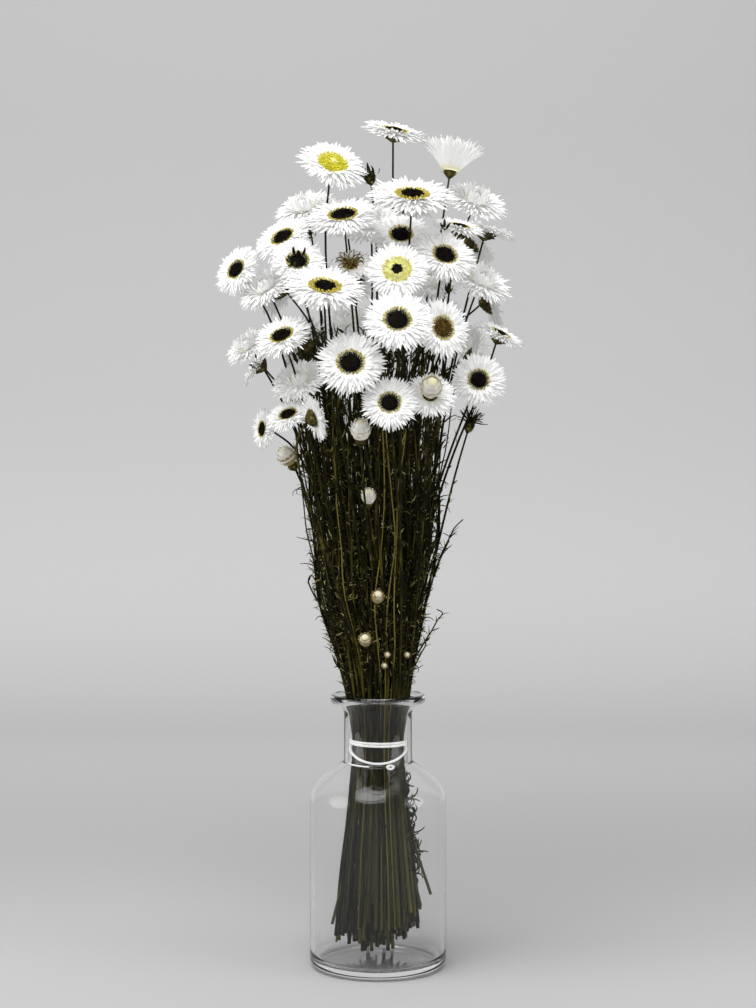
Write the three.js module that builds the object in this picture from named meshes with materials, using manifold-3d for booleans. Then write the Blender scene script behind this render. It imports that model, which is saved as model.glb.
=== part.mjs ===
// A tied bunch of dried white everlasting daisies standing in a clear glass bottle vase.
// Millimetres, +Z up. The origin is the middle of the bottle's flat base.
import * as THREE from 'three';
import { mergeVertices } from 'three/addons/utils/BufferGeometryUtils.js';
import Module from 'manifold-3d';

// Driving dimensions of the bottle
const BODY_RADIUS = 38.25;
const BODY_TOP = 92;
const HEEL_RADIUS = 6;
const BASE_THICKNESS = 4;
const WALL = 2.4;
const NECK_RADIUS = 19;
const NECK_BOTTOM = 115.5;
const FLARE_BOTTOM = 141;
const LIP_RADIUS = 26.4;
const LIP_BOTTOM = 147.5;
const RIM_HEIGHT = 152.5;
const FLOOR_FLAT = 29;
const SHOULDER_BULGE = [104, 25, 110];
const LIP_ROUND = 2.4;
const BOTTLE_SIDES = 24;
const ARC_STEPS = 3;

// Driving dimensions of the bunch
const GAP = 0.3;
const TIE_HEIGHT = 126;
const TIE_STRING_RADIUS = 0.6;
const TIGHT_TURNS = 2;
const TAIL_TURNS = 1.2;
const SLACK_DIP = 8.5;
const TAIL_DROP = 10.8;
const STEPS_PER_TURN = 12;
const BUNCH_WAIST = 14.4;
const STEM_RADIUS = 1.1;
const TWIG_RADIUS = 0.7;
const STEM_SPANS = 6;
const SLOT_HEIGHTS = [112, TIE_HEIGHT, 150];
const STEM_FOOT = BASE_THICKNESS + GAP;
const FOOT_SCATTER = 26;
const FRONT_TRIM = 9;
const CORE_HEIGHTS = [44, 50, 94, TIE_HEIGHT, 152, 190, 225];
const CORE_INSETS = [null, 10, 2, 0.9, 2.6, 10, null];
const CORE_SIDES = 12;
const RING_SHARES = [1, 0.68, 0.36];
const RING_PATTERN = [0, 1, 0, 2, 0, 1];
const TWIG_COUNT = 9;
const TWIG_TIPS = [195, 300];
const LEAF_LENGTH = 11;
const LEAF_RADIUS = 0.55;
const LEAVES_PER_TWIG = 4;

// Driving dimensions of a bloom, as shares of its radius where they have no unit
const FRONT_PETALS = 8;
const BACK_PETALS = 7;
const PETAL_EDGE = 0.7;
const PETAL_NOTCH = 0.6;
const UPPER_LAYER = 0.84;
const LOWER_RISE = 0.05;
const UPPER_RISE = 0.27;
const LAYER_FORK = 0.43;
const FORK_RISE = 0.09;
const THROAT_RISE = 0.12;
const DISC_SHARE = 0.3;
const DISC_STANDS_OUT = 0.8;
const DISC_DOME = 1;
const CALYX_SHARE = 0.42;
const CALYX_DEPTH = 4.5;
const CALYX_SIDES = 5;
const BUD_OUTLINE = [[0, 0], [0.75, 0.3], [1, 1.1], [0.62, 2], [0, 2.35]];
const BUD_SIDES = 8;
const KNOB_OUTLINE = [[0, -0.35], [1, 0.1], [0.8, 1.2], [0, 1.5]];
const SPIKE_COUNT = 7;

// Room kept round the petals for other blooms and for passing stems
const BLOOM_CLEARANCE = 5.2;
const STEM_CLEARANCE = 6.5;
const RIM_CLEARANCE = 2;
const PETAL_LIFT = 0.1;
const EASE_STEP = 0.6;
const EASE_ROUNDS = 60;
const BEND_ROUNDS = 40;
const BEND_SMOOTHING = 0.15;

// How a stem leaves the bottle's mouth and comes up behind its bloom, as shares of its reach
const MOUTH_PULL = 0.45;
const BLOOM_PULL = 0.24;
const OUTWARD_LEAN = 1.1;

// Heights and radii of the bunch from the cut ends up to the blooms
const BUNCH_PROFILE = [
  [4, 25.5], [38, 23.5], [66, 20.5], [94, 16.8], [112, 15], [TIE_HEIGHT, BUNCH_WAIST],
  [138, 15.2], [152, 18.6], [166, 21.5], [183, 26.5], [205, 32], [238, 37], [277, 42],
];

// Blooms on the side that faces forward: place of the petals' middle, facing, radius, and how steeply
// a bloom that is closing lifts its petals into a cup
const FRONT_BLOOMS = [
  { at: [9, 0, 463], facing: [0.2, -0.28, 0.94], radius: 19 },
  { at: [-25, -20, 443], facing: [0.25, -0.67, 0.7], radius: 19.4 },
  { at: [40, 8, 443], facing: [0.15, 0.12, 0.98], radius: 16, cup: 1.2 },
  { at: [18, -52, 422], facing: [0.05, -0.44, 0.9], radius: 23.6 },
  { at: [-18.5, -38, 413], facing: [-0.1, -0.5, 0.85], radius: 20.5 },
  { at: [12.5, -27, 404], facing: [0, -0.75, 0.66], radius: 16.5 },
  { at: [-51, -25, 403], facing: [-0.4, -0.6, 0.7], radius: 17 },
  { at: [-77, -15, 387], facing: [-0.6, -0.7, 0.4], radius: 15 },
  { at: [-42.5, -32, 388.5], facing: [0, -0.8, 0.5], radius: 15 },
  { at: [-27.5, -65, 372], facing: [0.1, -0.5, 0.85], radius: 21.5 },
  { at: [10, -76, 382], facing: [0, -0.9, 0.43], radius: 17 },
  { at: [35, -56, 391], facing: [0.2, -0.75, 0.63], radius: 17.2 },
  { at: [59.5, -8, 409], facing: [0.25, -0.05, 0.97], radius: 17 },
  { at: [44, -14, 408], facing: [0.2, -0.3, 0.93], radius: 14 },
  { at: [-14.5, -44, 387], facing: [-0.1, -0.75, 0.6], radius: 11 },
  { at: [10, -85, 355], facing: [0, -0.85, 0.5], radius: 18.3 },
  { at: [33, -68, 352.5], facing: [0.45, -0.86, 0.2], radius: 16.5 },
  { at: [66, -20, 350.5], facing: [0.45, -0.25, 0.85], radius: 14.4 },
  { at: [-51, -40, 349], facing: [-0.3, -0.6, 0.75], radius: 16.5 },
  { at: [-14, -85, 333.5], facing: [0, -0.9, 0.43], radius: 18.3 },
  { at: [6, -85, 313], facing: [0, -0.9, 0.42], radius: 15.3 },
  { at: [27, -75, 317], facing: [0.05, -0.8, 0.55], radius: 14, bud: 5.4 },
  { at: [53.5, -45, 326], facing: [0.05, -0.97, 0.2], radius: 14.8 },
  { at: [-65, -12, 335], facing: [-0.8, -0.1, 0.5], radius: 13.6 },
  { at: [-48, -35, 307], facing: [-0.3, -0.55, 0.75], radius: 13 },
  { at: [-34, -60, 306], facing: [0.8, 0.35, 0.3], radius: 13 },
  { at: [-62.5, -8, 300], facing: [-0.85, -0.5, 0.05], radius: 11.5 },
];

// Blooms deeper in the head, seen between the ones in front
const DEEP_BLOOMS = [
  { at: [-4, -4, 412], facing: [-0.1, -0.55, 0.83], radius: 20 },
  { at: [-40, 10, 422], facing: [-0.25, -0.5, 0.83], radius: 18 },
  { at: [-61, -14, 377], facing: [-0.5, -0.5, 0.7], radius: 17.5 },
  { at: [56, -4, 380], facing: [0.4, -0.5, 0.75], radius: 18.5 },
  { at: [54, 10, 427], facing: [0.3, -0.5, 0.8], radius: 19 },
  { at: [28, 1, 381], facing: [0.1, -0.6, 0.8], radius: 17 },
  { at: [50, 18, 349], facing: [0.3, -0.6, 0.75], radius: 17 },
  { at: [-72, 5, 346], facing: [-0.5, -0.5, 0.7], radius: 14.5 },
  { at: [-42, -27, 326], facing: [-0.3, -0.6, 0.75], radius: 17 },
  { at: [-16, 22, 360], facing: [-0.1, -0.6, 0.8], radius: 16 },
];

// Blooms round the back fill the same egg-shaped head
const BACK_BLOOM_COUNT = 12;
const HEAD_MIDDLE = [0, 6, 378];
const HEAD_HALF = [62, 66, 72];
const HEAD_LEVELS = [-0.62, 0.8];
const BACK_RADII = [15, 20];
const BACK_LIFT = 0.45;
const GOLDEN_TURN = Math.PI * (3 - Math.sqrt(5));

// Closed buds on thin stalks, and one head that has lost its petals
const BUDS = [
  { at: [-9, -72, 295], facing: [0, -0.5, 0.87], radius: 5 },
  { at: [-5, -44, 261], facing: [0, -0.6, 0.8], radius: 3.7 },
  { at: [-0.5, -38, 208], facing: [0.1, -0.8, 0.6], radius: 3.3 },
  { at: [-6.5, -31, 184], facing: [-0.1, -0.8, 0.6], radius: 3.3 },
  { at: [-47, -20, 281], facing: [-0.5, -0.3, 0.8], radius: 4.8 },
];
const BARE_HEADS = [
  { at: [50, -20, 302], facing: [0.3, -0.2, 0.93], radius: 2.9 },
  { at: [-4.5, -8, 438], facing: [-0.2, -0.5, 0.85], radius: 3.4 },
];

const wasm = await Module();
wasm.setup();

// Numbers between 0 and 1 that are the same on every run
function seededRandom(seed) {
  let state = seed;
  return () => {
    state = (state * 1664525 + 1013904223) % 4294967296;
    return state / 4294967296;
  };
}

function vector(list) {
  return new THREE.Vector3(...list);
}

function between([low, high], share) {
  return low + (high - low) * share;
}

function facingTurn(facing) {
  return new THREE.Quaternion().setFromUnitVectors(new THREE.Vector3(0, 0, 1), facing);
}

function toSolid(geometry) {
  const bare = geometry.clone();
  bare.deleteAttribute('normal');
  bare.deleteAttribute('uv');
  const closed = mergeVertices(bare, 1e-4);
  const vertProperties = new Float32Array(closed.attributes.position.array);
  const triVerts = new Uint32Array(closed.index.array);
  return new wasm.Manifold(new wasm.Mesh({ numProp: 3, vertProperties, triVerts }));
}

function toGeometry(solid) {
  const mesh = solid.getMesh();
  const geometry = new THREE.BufferGeometry();
  geometry.setAttribute('position', new THREE.BufferAttribute(mesh.vertProperties, 3));
  geometry.setIndex(new THREE.BufferAttribute(mesh.triVerts, 1));
  return geometry;
}

function fuse(geometries) {
  let solids = geometries.map(toSolid);
  while (solids.length > 1) {
    const joined = [];
    for (let i = 0; i < solids.length; i += 2) {
      joined.push(i + 1 < solids.length ? solids[i].add(solids[i + 1]) : solids[i]);
    }
    solids = joined;
  }
  return solids[0];
}

// The largest single body of a solid: loose scraps left by the joins are dropped
function mainBody(solid) {
  const bodies = solid.decompose();
  return bodies.reduce((best, body) => (body.volume() > best.volume() ? body : best));
}

function namedMesh(name, geometry, color, roughness, metalness = 0) {
  const mesh = new THREE.Mesh(geometry, new THREE.MeshStandardMaterial({ color, roughness, metalness }));
  mesh.name = name;
  return mesh;
}

// Turns a shape that stands on +Z so that it faces a way, and moves it to its place
function placed(geometry, at, facing) {
  return geometry.applyQuaternion(facingTurn(facing)).translate(at.x, at.y, at.z);
}

// A LatheGeometry spins about +Y, so it is laid over to spin about +Z
function spun(points, sides) {
  return new THREE.LatheGeometry(points, sides).rotateX(Math.PI / 2);
}

// A route that runs straight from each of its points to the next
class PointRoute extends THREE.Curve {
  constructor(points) {
    super();
    this.points = points;
  }

  getPoint(share, target = new THREE.Vector3()) {
    const place = share * (this.points.length - 1);
    const from = Math.min(Math.floor(place + 1e-9), this.points.length - 2);
    return target.copy(this.points[from]).lerp(this.points[from + 1], place - from);
  }

  getPointAt(share, target) {
    return this.getPoint(share, target);
  }

  getTangentAt(share, target = new THREE.Vector3()) {
    const half = 0.5 / (this.points.length - 1);
    const ahead = this.getPoint(Math.min(1, share + half));
    return target.copy(ahead).sub(this.getPoint(Math.max(0, share - half))).normalize();
  }
}

function tube(points, radius, sides) {
  const outline = new THREE.Shape();
  for (let i = 0; i < sides; i += 1) {
    const angle = (2 * Math.PI * i) / sides;
    const x = radius * Math.cos(angle);
    const y = radius * Math.sin(angle);
    if (i === 0) outline.moveTo(x, y);
    else outline.lineTo(x, y);
  }
  outline.closePath();
  const options = { steps: points.length - 1, bevelEnabled: false, curveSegments: 1 };
  return new THREE.ExtrudeGeometry(outline, { ...options, extrudePath: new PointRoute(points) });
}

// Bottle

function bottleOutline() {
  const inside = BODY_RADIUS - WALL;
  const neckInside = NECK_RADIUS - WALL;
  const lipMiddle = (LIP_BOTTOM + RIM_HEIGHT) / 2;
  const [bulgeHeight, bulgeRadius, bulgeTop] = SHOULDER_BULGE;
  const outline = new THREE.Path();
  outline.moveTo(0, 0);
  outline.lineTo(BODY_RADIUS - HEEL_RADIUS, 0);
  outline.quadraticCurveTo(BODY_RADIUS, 0, BODY_RADIUS, HEEL_RADIUS);
  outline.lineTo(BODY_RADIUS, BODY_TOP);
  outline.bezierCurveTo(BODY_RADIUS, bulgeHeight, bulgeRadius, bulgeTop, NECK_RADIUS, NECK_BOTTOM);
  outline.lineTo(NECK_RADIUS, FLARE_BOTTOM);
  outline.quadraticCurveTo(NECK_RADIUS, LIP_BOTTOM - 1, LIP_RADIUS - LIP_ROUND, LIP_BOTTOM);
  outline.quadraticCurveTo(LIP_RADIUS, LIP_BOTTOM, LIP_RADIUS, lipMiddle);
  outline.quadraticCurveTo(LIP_RADIUS, RIM_HEIGHT, LIP_RADIUS - LIP_ROUND, RIM_HEIGHT);
  outline.quadraticCurveTo(neckInside + 1, LIP_BOTTOM, neckInside, FLARE_BOTTOM - WALL);
  outline.lineTo(neckInside, NECK_BOTTOM - WALL);
  outline.bezierCurveTo(bulgeRadius - WALL, bulgeTop - WALL, inside, bulgeHeight - WALL, inside, BODY_TOP);
  outline.lineTo(inside, BASE_THICKNESS + HEEL_RADIUS);
  outline.quadraticCurveTo(inside, BASE_THICKNESS, FLOOR_FLAT, BASE_THICKNESS);
  outline.lineTo(0, BASE_THICKNESS);
  return outline.getPoints(ARC_STEPS);
}

function bottle() {
  return spun(bottleOutline(), BOTTLE_SIDES);
}

// Bunch: routes of the stems

function bunchRadius(height) {
  const last = BUNCH_PROFILE.length - 1;
  if (height <= BUNCH_PROFILE[0][0]) return BUNCH_PROFILE[0][1];
  for (let i = 0; i < last; i += 1) {
    const [z0, r0] = BUNCH_PROFILE[i];
    const [z1, r1] = BUNCH_PROFILE[i + 1];
    if (height <= z1) return r0 + ((r1 - r0) * (height - z0)) / (z1 - z0);
  }
  return BUNCH_PROFILE[last][1];
}

function asHead(entry) {
  const facing = vector(entry.facing).normalize();
  return { petals: FRONT_PETALS, cup: 0, ...entry, at: vector(entry.at), facing };
}

// Back blooms wind round the head from low to high, each facing outwards
function backBlooms() {
  const random = seededRandom(7);
  const heads = [];
  for (let i = 0; i < BACK_BLOOM_COUNT; i += 1) {
    const level = between(HEAD_LEVELS, (i + 0.5) / BACK_BLOOM_COUNT);
    const swing = ((i * GOLDEN_TURN) % Math.PI) + between([-0.1, 0.1], random());
    const across = Math.sqrt(1 - level * level);
    const outward = new THREE.Vector3(across * Math.cos(swing), across * Math.sin(swing), level);
    const at = vector(HEAD_HALF).multiply(outward).add(vector(HEAD_MIDDLE));
    const facing = outward.clone().add(new THREE.Vector3(0, 0, BACK_LIFT)).normalize();
    heads.push({ at, facing, radius: between(BACK_RADII, random()), petals: BACK_PETALS, cup: 0 });
  }
  return heads;
}

// How deep a point lies in the flat round space that a bloom's petals take up
function depthInBloom(point, bloom, clearance) {
  const offset = point.clone().sub(bloom.at);
  const along = offset.dot(bloom.facing) - bloom.radius * PETAL_LIFT;
  const across = offset.addScaledVector(bloom.facing, -offset.dot(bloom.facing)).length();
  const inFlat = clearance - Math.abs(along);
  const inRound = bloom.radius + RIM_CLEARANCE - across;
  return { along, inFlat, inRound, inside: inFlat > 0 && inRound > 0 };
}

// Points on a bloom's rim and half way in, which stand for its petals
function petalPoints(bloom) {
  const points = [bloom.at.clone()];
  const turn = facingTurn(bloom.facing);
  const spokes = 12;
  for (const share of [0.55, 1]) {
    for (let i = 0; i < spokes; i += 1) {
      const angle = (2 * Math.PI * i) / spokes;
      const point = new THREE.Vector3(Math.cos(angle), Math.sin(angle), PETAL_LIFT);
      points.push(point.multiplyScalar(bloom.radius * share).applyQuaternion(turn).add(bloom.at));
    }
  }
  return points;
}

function bloomsTouch(bloom, other) {
  const near = bloom.radius + other.radius + BLOOM_CLEARANCE;
  if (bloom.at.distanceTo(other.at) > near) return false;
  return petalPoints(bloom).some((point) => depthInBloom(point, other, BLOOM_CLEARANCE).inside);
}

// Blooms that would touch are eased apart from front to back, a little at a time
function easeBloomsApart(blooms) {
  for (let round = 0; round < EASE_ROUNDS; round += 1) {
    let touching = 0;
    for (const bloom of blooms) {
      for (const other of blooms) {
        if (other === bloom || !bloomsTouch(bloom, other)) continue;
        const side = bloom.at.y < other.at.y ? -1 : 1;
        bloom.at.y += side * EASE_STEP;
        other.at.y -= side * EASE_STEP;
        touching += 1;
      }
    }
    if (touching === 0) return;
  }
}

// The outer stems at the front are cut shorter, so that only those behind reach the glass
function trimmedFoot(slot, scatter) {
  return STEM_FOOT + FOOT_SCATTER * scatter + FRONT_TRIM * slot.share * (1 - Math.sin(slot.angle));
}

// A stem runs from its cut end through its slot under the tie and up behind its bloom
function stemRoute(head, slot, footHeight) {
  const points = [footHeight, ...SLOT_HEIGHTS].map((height) => {
    const away = (bunchRadius(height) - STEM_RADIUS) * slot.share;
    return new THREE.Vector3(away * Math.cos(slot.angle), away * Math.sin(slot.angle), height);
  });
  const top = head.at.clone().addScaledVector(head.facing, 1 - CALYX_DEPTH);
  const mouth = points[points.length - 1];
  const reach = top.distanceTo(mouth);
  const rise = new THREE.Vector3(mouth.x * OUTWARD_LEAN, mouth.y * OUTWARD_LEAN, 100).normalize();
  const leaving = mouth.clone().addScaledVector(rise, reach * MOUTH_PULL);
  const arriving = top.clone().addScaledVector(head.facing, -reach * BLOOM_PULL);
  const curve = new THREE.CubicBezierCurve3(mouth, leaving, arriving, top);
  const steps = 2 * STEM_SPANS;
  for (let i = 1; i <= steps; i += 1) points.push(curve.getPoint(i / steps));
  return points;
}

function pushOut(point, bloom) {
  const depth = depthInBloom(point, bloom, STEM_CLEARANCE);
  if (!depth.inside) return;
  if (depth.inFlat < depth.inRound) {
    point.addScaledVector(bloom.facing, Math.sign(depth.along) * depth.inFlat * 0.5);
    return;
  }
  const away = point.clone().sub(bloom.at);
  away.addScaledVector(bloom.facing, -away.dot(bloom.facing)).normalize();
  point.addScaledVector(away, depth.inRound * 0.5);
}

// A stem that would run through another bloom is bent round it, and keeps every second point
function bendClear(points, own, blooms) {
  const firstFree = SLOT_HEIGHTS.length + 1;
  const last = points.length - 1;
  const others = blooms.filter((bloom) => bloom.at !== own.at);
  for (let round = 0; round < BEND_ROUNDS; round += 1) {
    for (let i = firstFree; i < last; i += 1) others.forEach((bloom) => pushOut(points[i], bloom));
    for (let i = firstFree; i < last - 1; i += 1) {
      const middle = points[i - 1].clone().add(points[i + 1]).multiplyScalar(0.5);
      points[i].lerp(middle, BEND_SMOOTHING);
    }
  }
  return points.filter((point, i) => i < firstFree || (i - firstFree) % 2 === 1);
}

// Slots round the bunch are handed out in the order in which the heads lie round it
function withSlots(heads) {
  const sorted = [...heads].sort((a, b) => Math.atan2(a.at.y, a.at.x) - Math.atan2(b.at.y, b.at.x));
  const rings = RING_SHARES.map(() => []);
  sorted.forEach((head, i) => rings[RING_PATTERN[i % RING_PATTERN.length]].push(head));
  rings.forEach((ring, r) => ring.forEach((head, i) => {
    head.slot = { share: RING_SHARES[r], angle: (2 * Math.PI * i) / ring.length - Math.PI };
  }));
  return heads;
}

// Bloom pieces

function outlinePoints(pairs, scale = 1) {
  return pairs.map(([away, height]) => new THREE.Vector2(away * scale, height * scale));
}

// Two layers of pointed petals in one ring round the disc, the upper petals over the lower gaps
function petalRing(bloom) {
  const radius = bloom.radius;
  const hole = radius * DISC_SHARE + GAP;
  const edge = PETAL_EDGE * Math.hypot(1, bloom.cup);
  const lowerRise = radius * LOWER_RISE;
  const upperRise = radius * UPPER_RISE;
  const profile = outlinePoints([
    [hole, 0],
    [radius, lowerRise], [radius, lowerRise + edge],
    [radius * LAYER_FORK, radius * FORK_RISE + edge],
    [radius * UPPER_LAYER, upperRise], [radius * UPPER_LAYER, upperRise + edge],
    [hole, radius * THROAT_RISE + edge],
    [hole, 0],
  ]);
  const lowerTip = [1, 2];
  const upperTip = [4, 5];
  const ring = spun(profile, 2 * bloom.petals);
  const positions = ring.attributes.position;
  for (let i = 0; i < positions.count; i += 1) {
    const place = i % profile.length;
    const oddSpoke = Math.floor(i / profile.length) % 2 === 1;
    const notched = oddSpoke ? lowerTip.includes(place) : upperTip.includes(place);
    const pull = notched ? PETAL_NOTCH : 1;
    const x = positions.getX(i) * pull;
    const y = positions.getY(i) * pull;
    const lift = bloom.cup * (Math.hypot(x, y) - hole);
    positions.setXYZ(i, x, y, positions.getZ(i) + lift);
  }
  return placed(ring, bloom.at, bloom.facing);
}

// Height of the disc's edge: a bud sits on it where the bloom is still half closed
function discTop(bloom) {
  const throat = bloom.radius * THROAT_RISE + PETAL_EDGE;
  return bloom.bud ? throat : throat + DISC_STANDS_OUT;
}

// The dark disc stands up through the petals on a green cup that carries them
function discAndCalyx(bloom) {
  const disc = bloom.radius * DISC_SHARE;
  const top = discTop(bloom);
  const cup = spun(outlinePoints([
    [0, -CALYX_DEPTH], [STEM_RADIUS * 1.4, -CALYX_DEPTH], [bloom.radius * CALYX_SHARE, -GAP],
    [disc, -GAP], [disc, top], [0, top + (bloom.bud ? 0 : DISC_DOME)],
  ]), CALYX_SIDES);
  return placed(cup, bloom.at, bloom.facing);
}

function budBody(bud) {
  return placed(spun(outlinePoints(BUD_OUTLINE, bud.radius), BUD_SIDES), bud.at, bud.facing);
}

function budCup(bud) {
  const lip = bud.radius * 0.7;
  const outline = [[0, -CALYX_DEPTH], [STEM_RADIUS, -CALYX_DEPTH], [lip, -2 * GAP], [0, -GAP]];
  return placed(spun(outlinePoints(outline), CALYX_SIDES), bud.at, bud.facing);
}

// A head without petals: a small knob ringed by spikes, on the same cup as a bud
function bareHead(head) {
  const knob = placed(spun(outlinePoints(KNOB_OUTLINE, head.radius), 6), head.at, head.facing);
  const pieces = [budCup(head), knob];
  const middle = head.at.clone().addScaledVector(head.facing, head.radius * 0.5);
  for (let i = 0; i < SPIKE_COUNT; i += 1) {
    const angle = (2 * Math.PI * i) / SPIKE_COUNT;
    const lift = i % 2 === 0 ? 0.25 : 0.75;
    const way = new THREE.Vector3(Math.cos(angle), Math.sin(angle), lift).normalize();
    way.applyQuaternion(facingTurn(head.facing));
    const root = middle.clone().addScaledVector(way, head.radius * 0.5);
    pieces.push(leaf(root, way, LEAF_LENGTH * 0.7));
  }
  return pieces;
}

// Leaves are three-sided needles with their thick end sunk in the stem
function leaf(root, way, length) {
  const sunk = 0.4;
  const needle = new THREE.ConeGeometry(LEAF_RADIUS, length, 3).rotateX(Math.PI / 2);
  needle.translate(0, 0, length / 2 - sunk);
  return placed(needle, root, way);
}

// Slim core of packed stems, from above the cut ends to where the bunch opens
function bunchCore() {
  const outline = CORE_HEIGHTS.map((height, i) => {
    const inset = CORE_INSETS[i];
    return [inset === null ? 0 : bunchRadius(height) - inset, height];
  });
  return spun(outlinePoints(outline), CORE_SIDES);
}

function twigHeads() {
  const random = seededRandom(31);
  const heads = [];
  for (let i = 0; i < TWIG_COUNT; i += 1) {
    const angle = (2 * Math.PI * (i + 0.5 * random())) / TWIG_COUNT;
    const height = between(TWIG_TIPS, random());
    const away = bunchRadius(height) * between([0.85, 1.05], random());
    const outward = new THREE.Vector3(Math.cos(angle), Math.sin(angle), 0);
    const at = outward.clone().multiplyScalar(away).setZ(height);
    const facing = outward.multiplyScalar(0.3).setZ(1).normalize();
    heads.push({ at, facing, radius: 1, twig: true });
  }
  return heads;
}

// Leaves stand out from the upper half of a twig, away from the middle of the bunch
function twigLeaves(route, random) {
  const curve = new PointRoute(route);
  const leaves = [];
  for (let i = 0; i < LEAVES_PER_TWIG; i += 1) {
    const share = between([0.5, 0.99], i / (LEAVES_PER_TWIG - 1));
    const root = curve.getPointAt(share);
    const angle = Math.atan2(root.y, root.x) + between([-1, 1], random());
    const way = new THREE.Vector3(Math.cos(angle), Math.sin(angle), 0);
    way.addScaledVector(curve.getTangentAt(share), 1.2).normalize();
    leaves.push(leaf(root, way, LEAF_LENGTH * between([0.7, 1.2], random())));
  }
  return leaves;
}

// Height of the string after some turns from the left side: two tight turns, then a slack one
// that dips at the front and sinks at the back, then a tail along the front
function tieHeight(turn) {
  const pitch = 2 * TIE_STRING_RADIUS + GAP;
  const tight = TIE_HEIGHT + 1 - pitch * Math.min(turn, TIGHT_TURNS);
  const slack = Math.max(0, turn - TIGHT_TURNS);
  if (slack === 0) return tight;
  if (slack < 0.5) return tight - SLACK_DIP * Math.sin(2 * Math.PI * slack);
  return tight - TAIL_DROP * Math.min(1, 2 * slack - 1);
}

function tieString() {
  const points = [];
  const count = Math.round((TIGHT_TURNS + TAIL_TURNS) * STEPS_PER_TURN);
  for (let i = 0; i <= count; i += 1) {
    const turn = i / STEPS_PER_TURN;
    const angle = Math.PI + 2 * Math.PI * turn;
    const height = tieHeight(turn);
    const away = Math.max(bunchRadius(height), BUNCH_WAIST) + 1.5 * GAP + TIE_STRING_RADIUS;
    points.push(new THREE.Vector3(away * Math.cos(angle), away * Math.sin(angle), height));
  }
  return tube(points, TIE_STRING_RADIUS, 4);
}

// Whole object

// A half closed bloom carries a bud in place of its disc's dome
function budOn(bloom) {
  const at = bloom.at.clone().addScaledVector(bloom.facing, discTop(bloom) + GAP);
  return { at, facing: bloom.facing, radius: bloom.bud };
}

function bunchPieces(heads, blooms, obstacles) {
  const random = seededRandom(5);
  const pieces = [bunchCore()];
  for (const head of heads) {
    const foot = trimmedFoot(head.slot, random() * random());
    const route = bendClear(stemRoute(head, head.slot, foot), head, obstacles);
    pieces.push(tube(route, head.twig ? TWIG_RADIUS : STEM_RADIUS, 3));
    if (head.twig) pieces.push(...twigLeaves(route, random));
  }
  blooms.forEach((bloom) => pieces.push(discAndCalyx(bloom)));
  return pieces;
}

function wholeObject() {
  const deepBlooms = DEEP_BLOOMS.map((entry) => asHead({ petals: BACK_PETALS, ...entry }));
  const blooms = [...FRONT_BLOOMS.map(asHead), ...deepBlooms, ...backBlooms()];
  easeBloomsApart(blooms);
  const buds = BUDS.map(asHead);
  const bareHeads = BARE_HEADS.map(asHead);
  const heads = withSlots([...blooms, ...buds, ...bareHeads, ...twigHeads()]);
  const obstacles = [...blooms, ...buds.map((bud) => ({ ...bud, radius: bud.radius + 1 }))];
  const pieces = bunchPieces(heads, blooms, obstacles);
  pieces.push(...buds.map(budCup), ...bareHeads.flatMap(bareHead));

  const group = new THREE.Group();
  group.add(namedMesh('bottle', bottle(), 0xc9cec9, 0.05));
  group.add(namedMesh('stems', toGeometry(mainBody(fuse(pieces))), 0x2f2a16, 0.85));
  group.add(namedMesh('tie_string', tieString(), 0xf2f0ea, 0.9));
  blooms.forEach((bloom, i) => {
    const name = `bloom_petals_${String(i + 1).padStart(2, '0')}`;
    group.add(namedMesh(name, petalRing(bloom), 0xf3f2ee, 0.75));
  });
  const closed = [...buds, ...blooms.filter((bloom) => bloom.bud).map(budOn)];
  closed.forEach((bud, i) => group.add(namedMesh(`bud_${i + 1}`, budBody(bud), 0xece6d4, 0.75)));
  return group;
}

export default wholeObject();
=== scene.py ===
# %% [markdown]
# # Dried everlasting daisies in a glass bottle
# A tied bunch of white everlasting daisies stands in a clear glass bottle. The frame holds the
# plain solids at their real size. Here each of them gets its fine surface: many papery petals
# for each ring, florets for each disc, round stems with small leaves, smooth glass and a
# twisted string. First the frame is loaded.

# %% Load the frame
import math
import bpy
import numpy as np
from mathutils import Matrix, Vector


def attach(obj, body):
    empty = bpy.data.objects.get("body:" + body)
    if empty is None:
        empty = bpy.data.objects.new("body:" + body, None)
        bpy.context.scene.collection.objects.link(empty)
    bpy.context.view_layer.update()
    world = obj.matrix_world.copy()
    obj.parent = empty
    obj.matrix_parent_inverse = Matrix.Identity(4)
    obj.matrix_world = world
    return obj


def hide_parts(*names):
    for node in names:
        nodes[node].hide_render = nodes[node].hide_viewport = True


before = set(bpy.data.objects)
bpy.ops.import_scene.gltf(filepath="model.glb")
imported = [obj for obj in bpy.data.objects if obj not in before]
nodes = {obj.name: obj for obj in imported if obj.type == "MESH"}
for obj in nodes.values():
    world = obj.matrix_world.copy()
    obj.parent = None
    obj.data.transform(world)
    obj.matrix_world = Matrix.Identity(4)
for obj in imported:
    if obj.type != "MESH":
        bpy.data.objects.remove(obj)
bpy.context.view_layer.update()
MM = 0.001
petal_nodes = sorted(name for name in nodes if name.startswith("bloom_petals_"))
bud_nodes = sorted(name for name in nodes if name.startswith("bud_"))
print("nodes", len(nodes), "blooms", len(petal_nodes), "buds", len(bud_nodes))

# %% [markdown]
# ## Small tools
# A few helpers are used by every piece. Random draws come from one plain formula with a seed,
# so the bunch is the same on each run. A shape that repeats is modelled once, read into arrays,
# and copied with a matrix for each copy, which is far quicker than duplicating objects.

# %% Random numbers and vectors
class SeededRandom:
    """Numbers between 0 and 1 that are the same on every run."""

    def __init__(self, seed):
        self.state = seed

    def __call__(self):
        self.state = (self.state * 1664525 + 1013904223) % 4294967296
        return self.state / 4294967296

    def between(self, low, high):
        return low + (high - low) * self()


def unit(vector):
    vector = np.asarray(vector, float)
    return vector / np.linalg.norm(vector)


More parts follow.
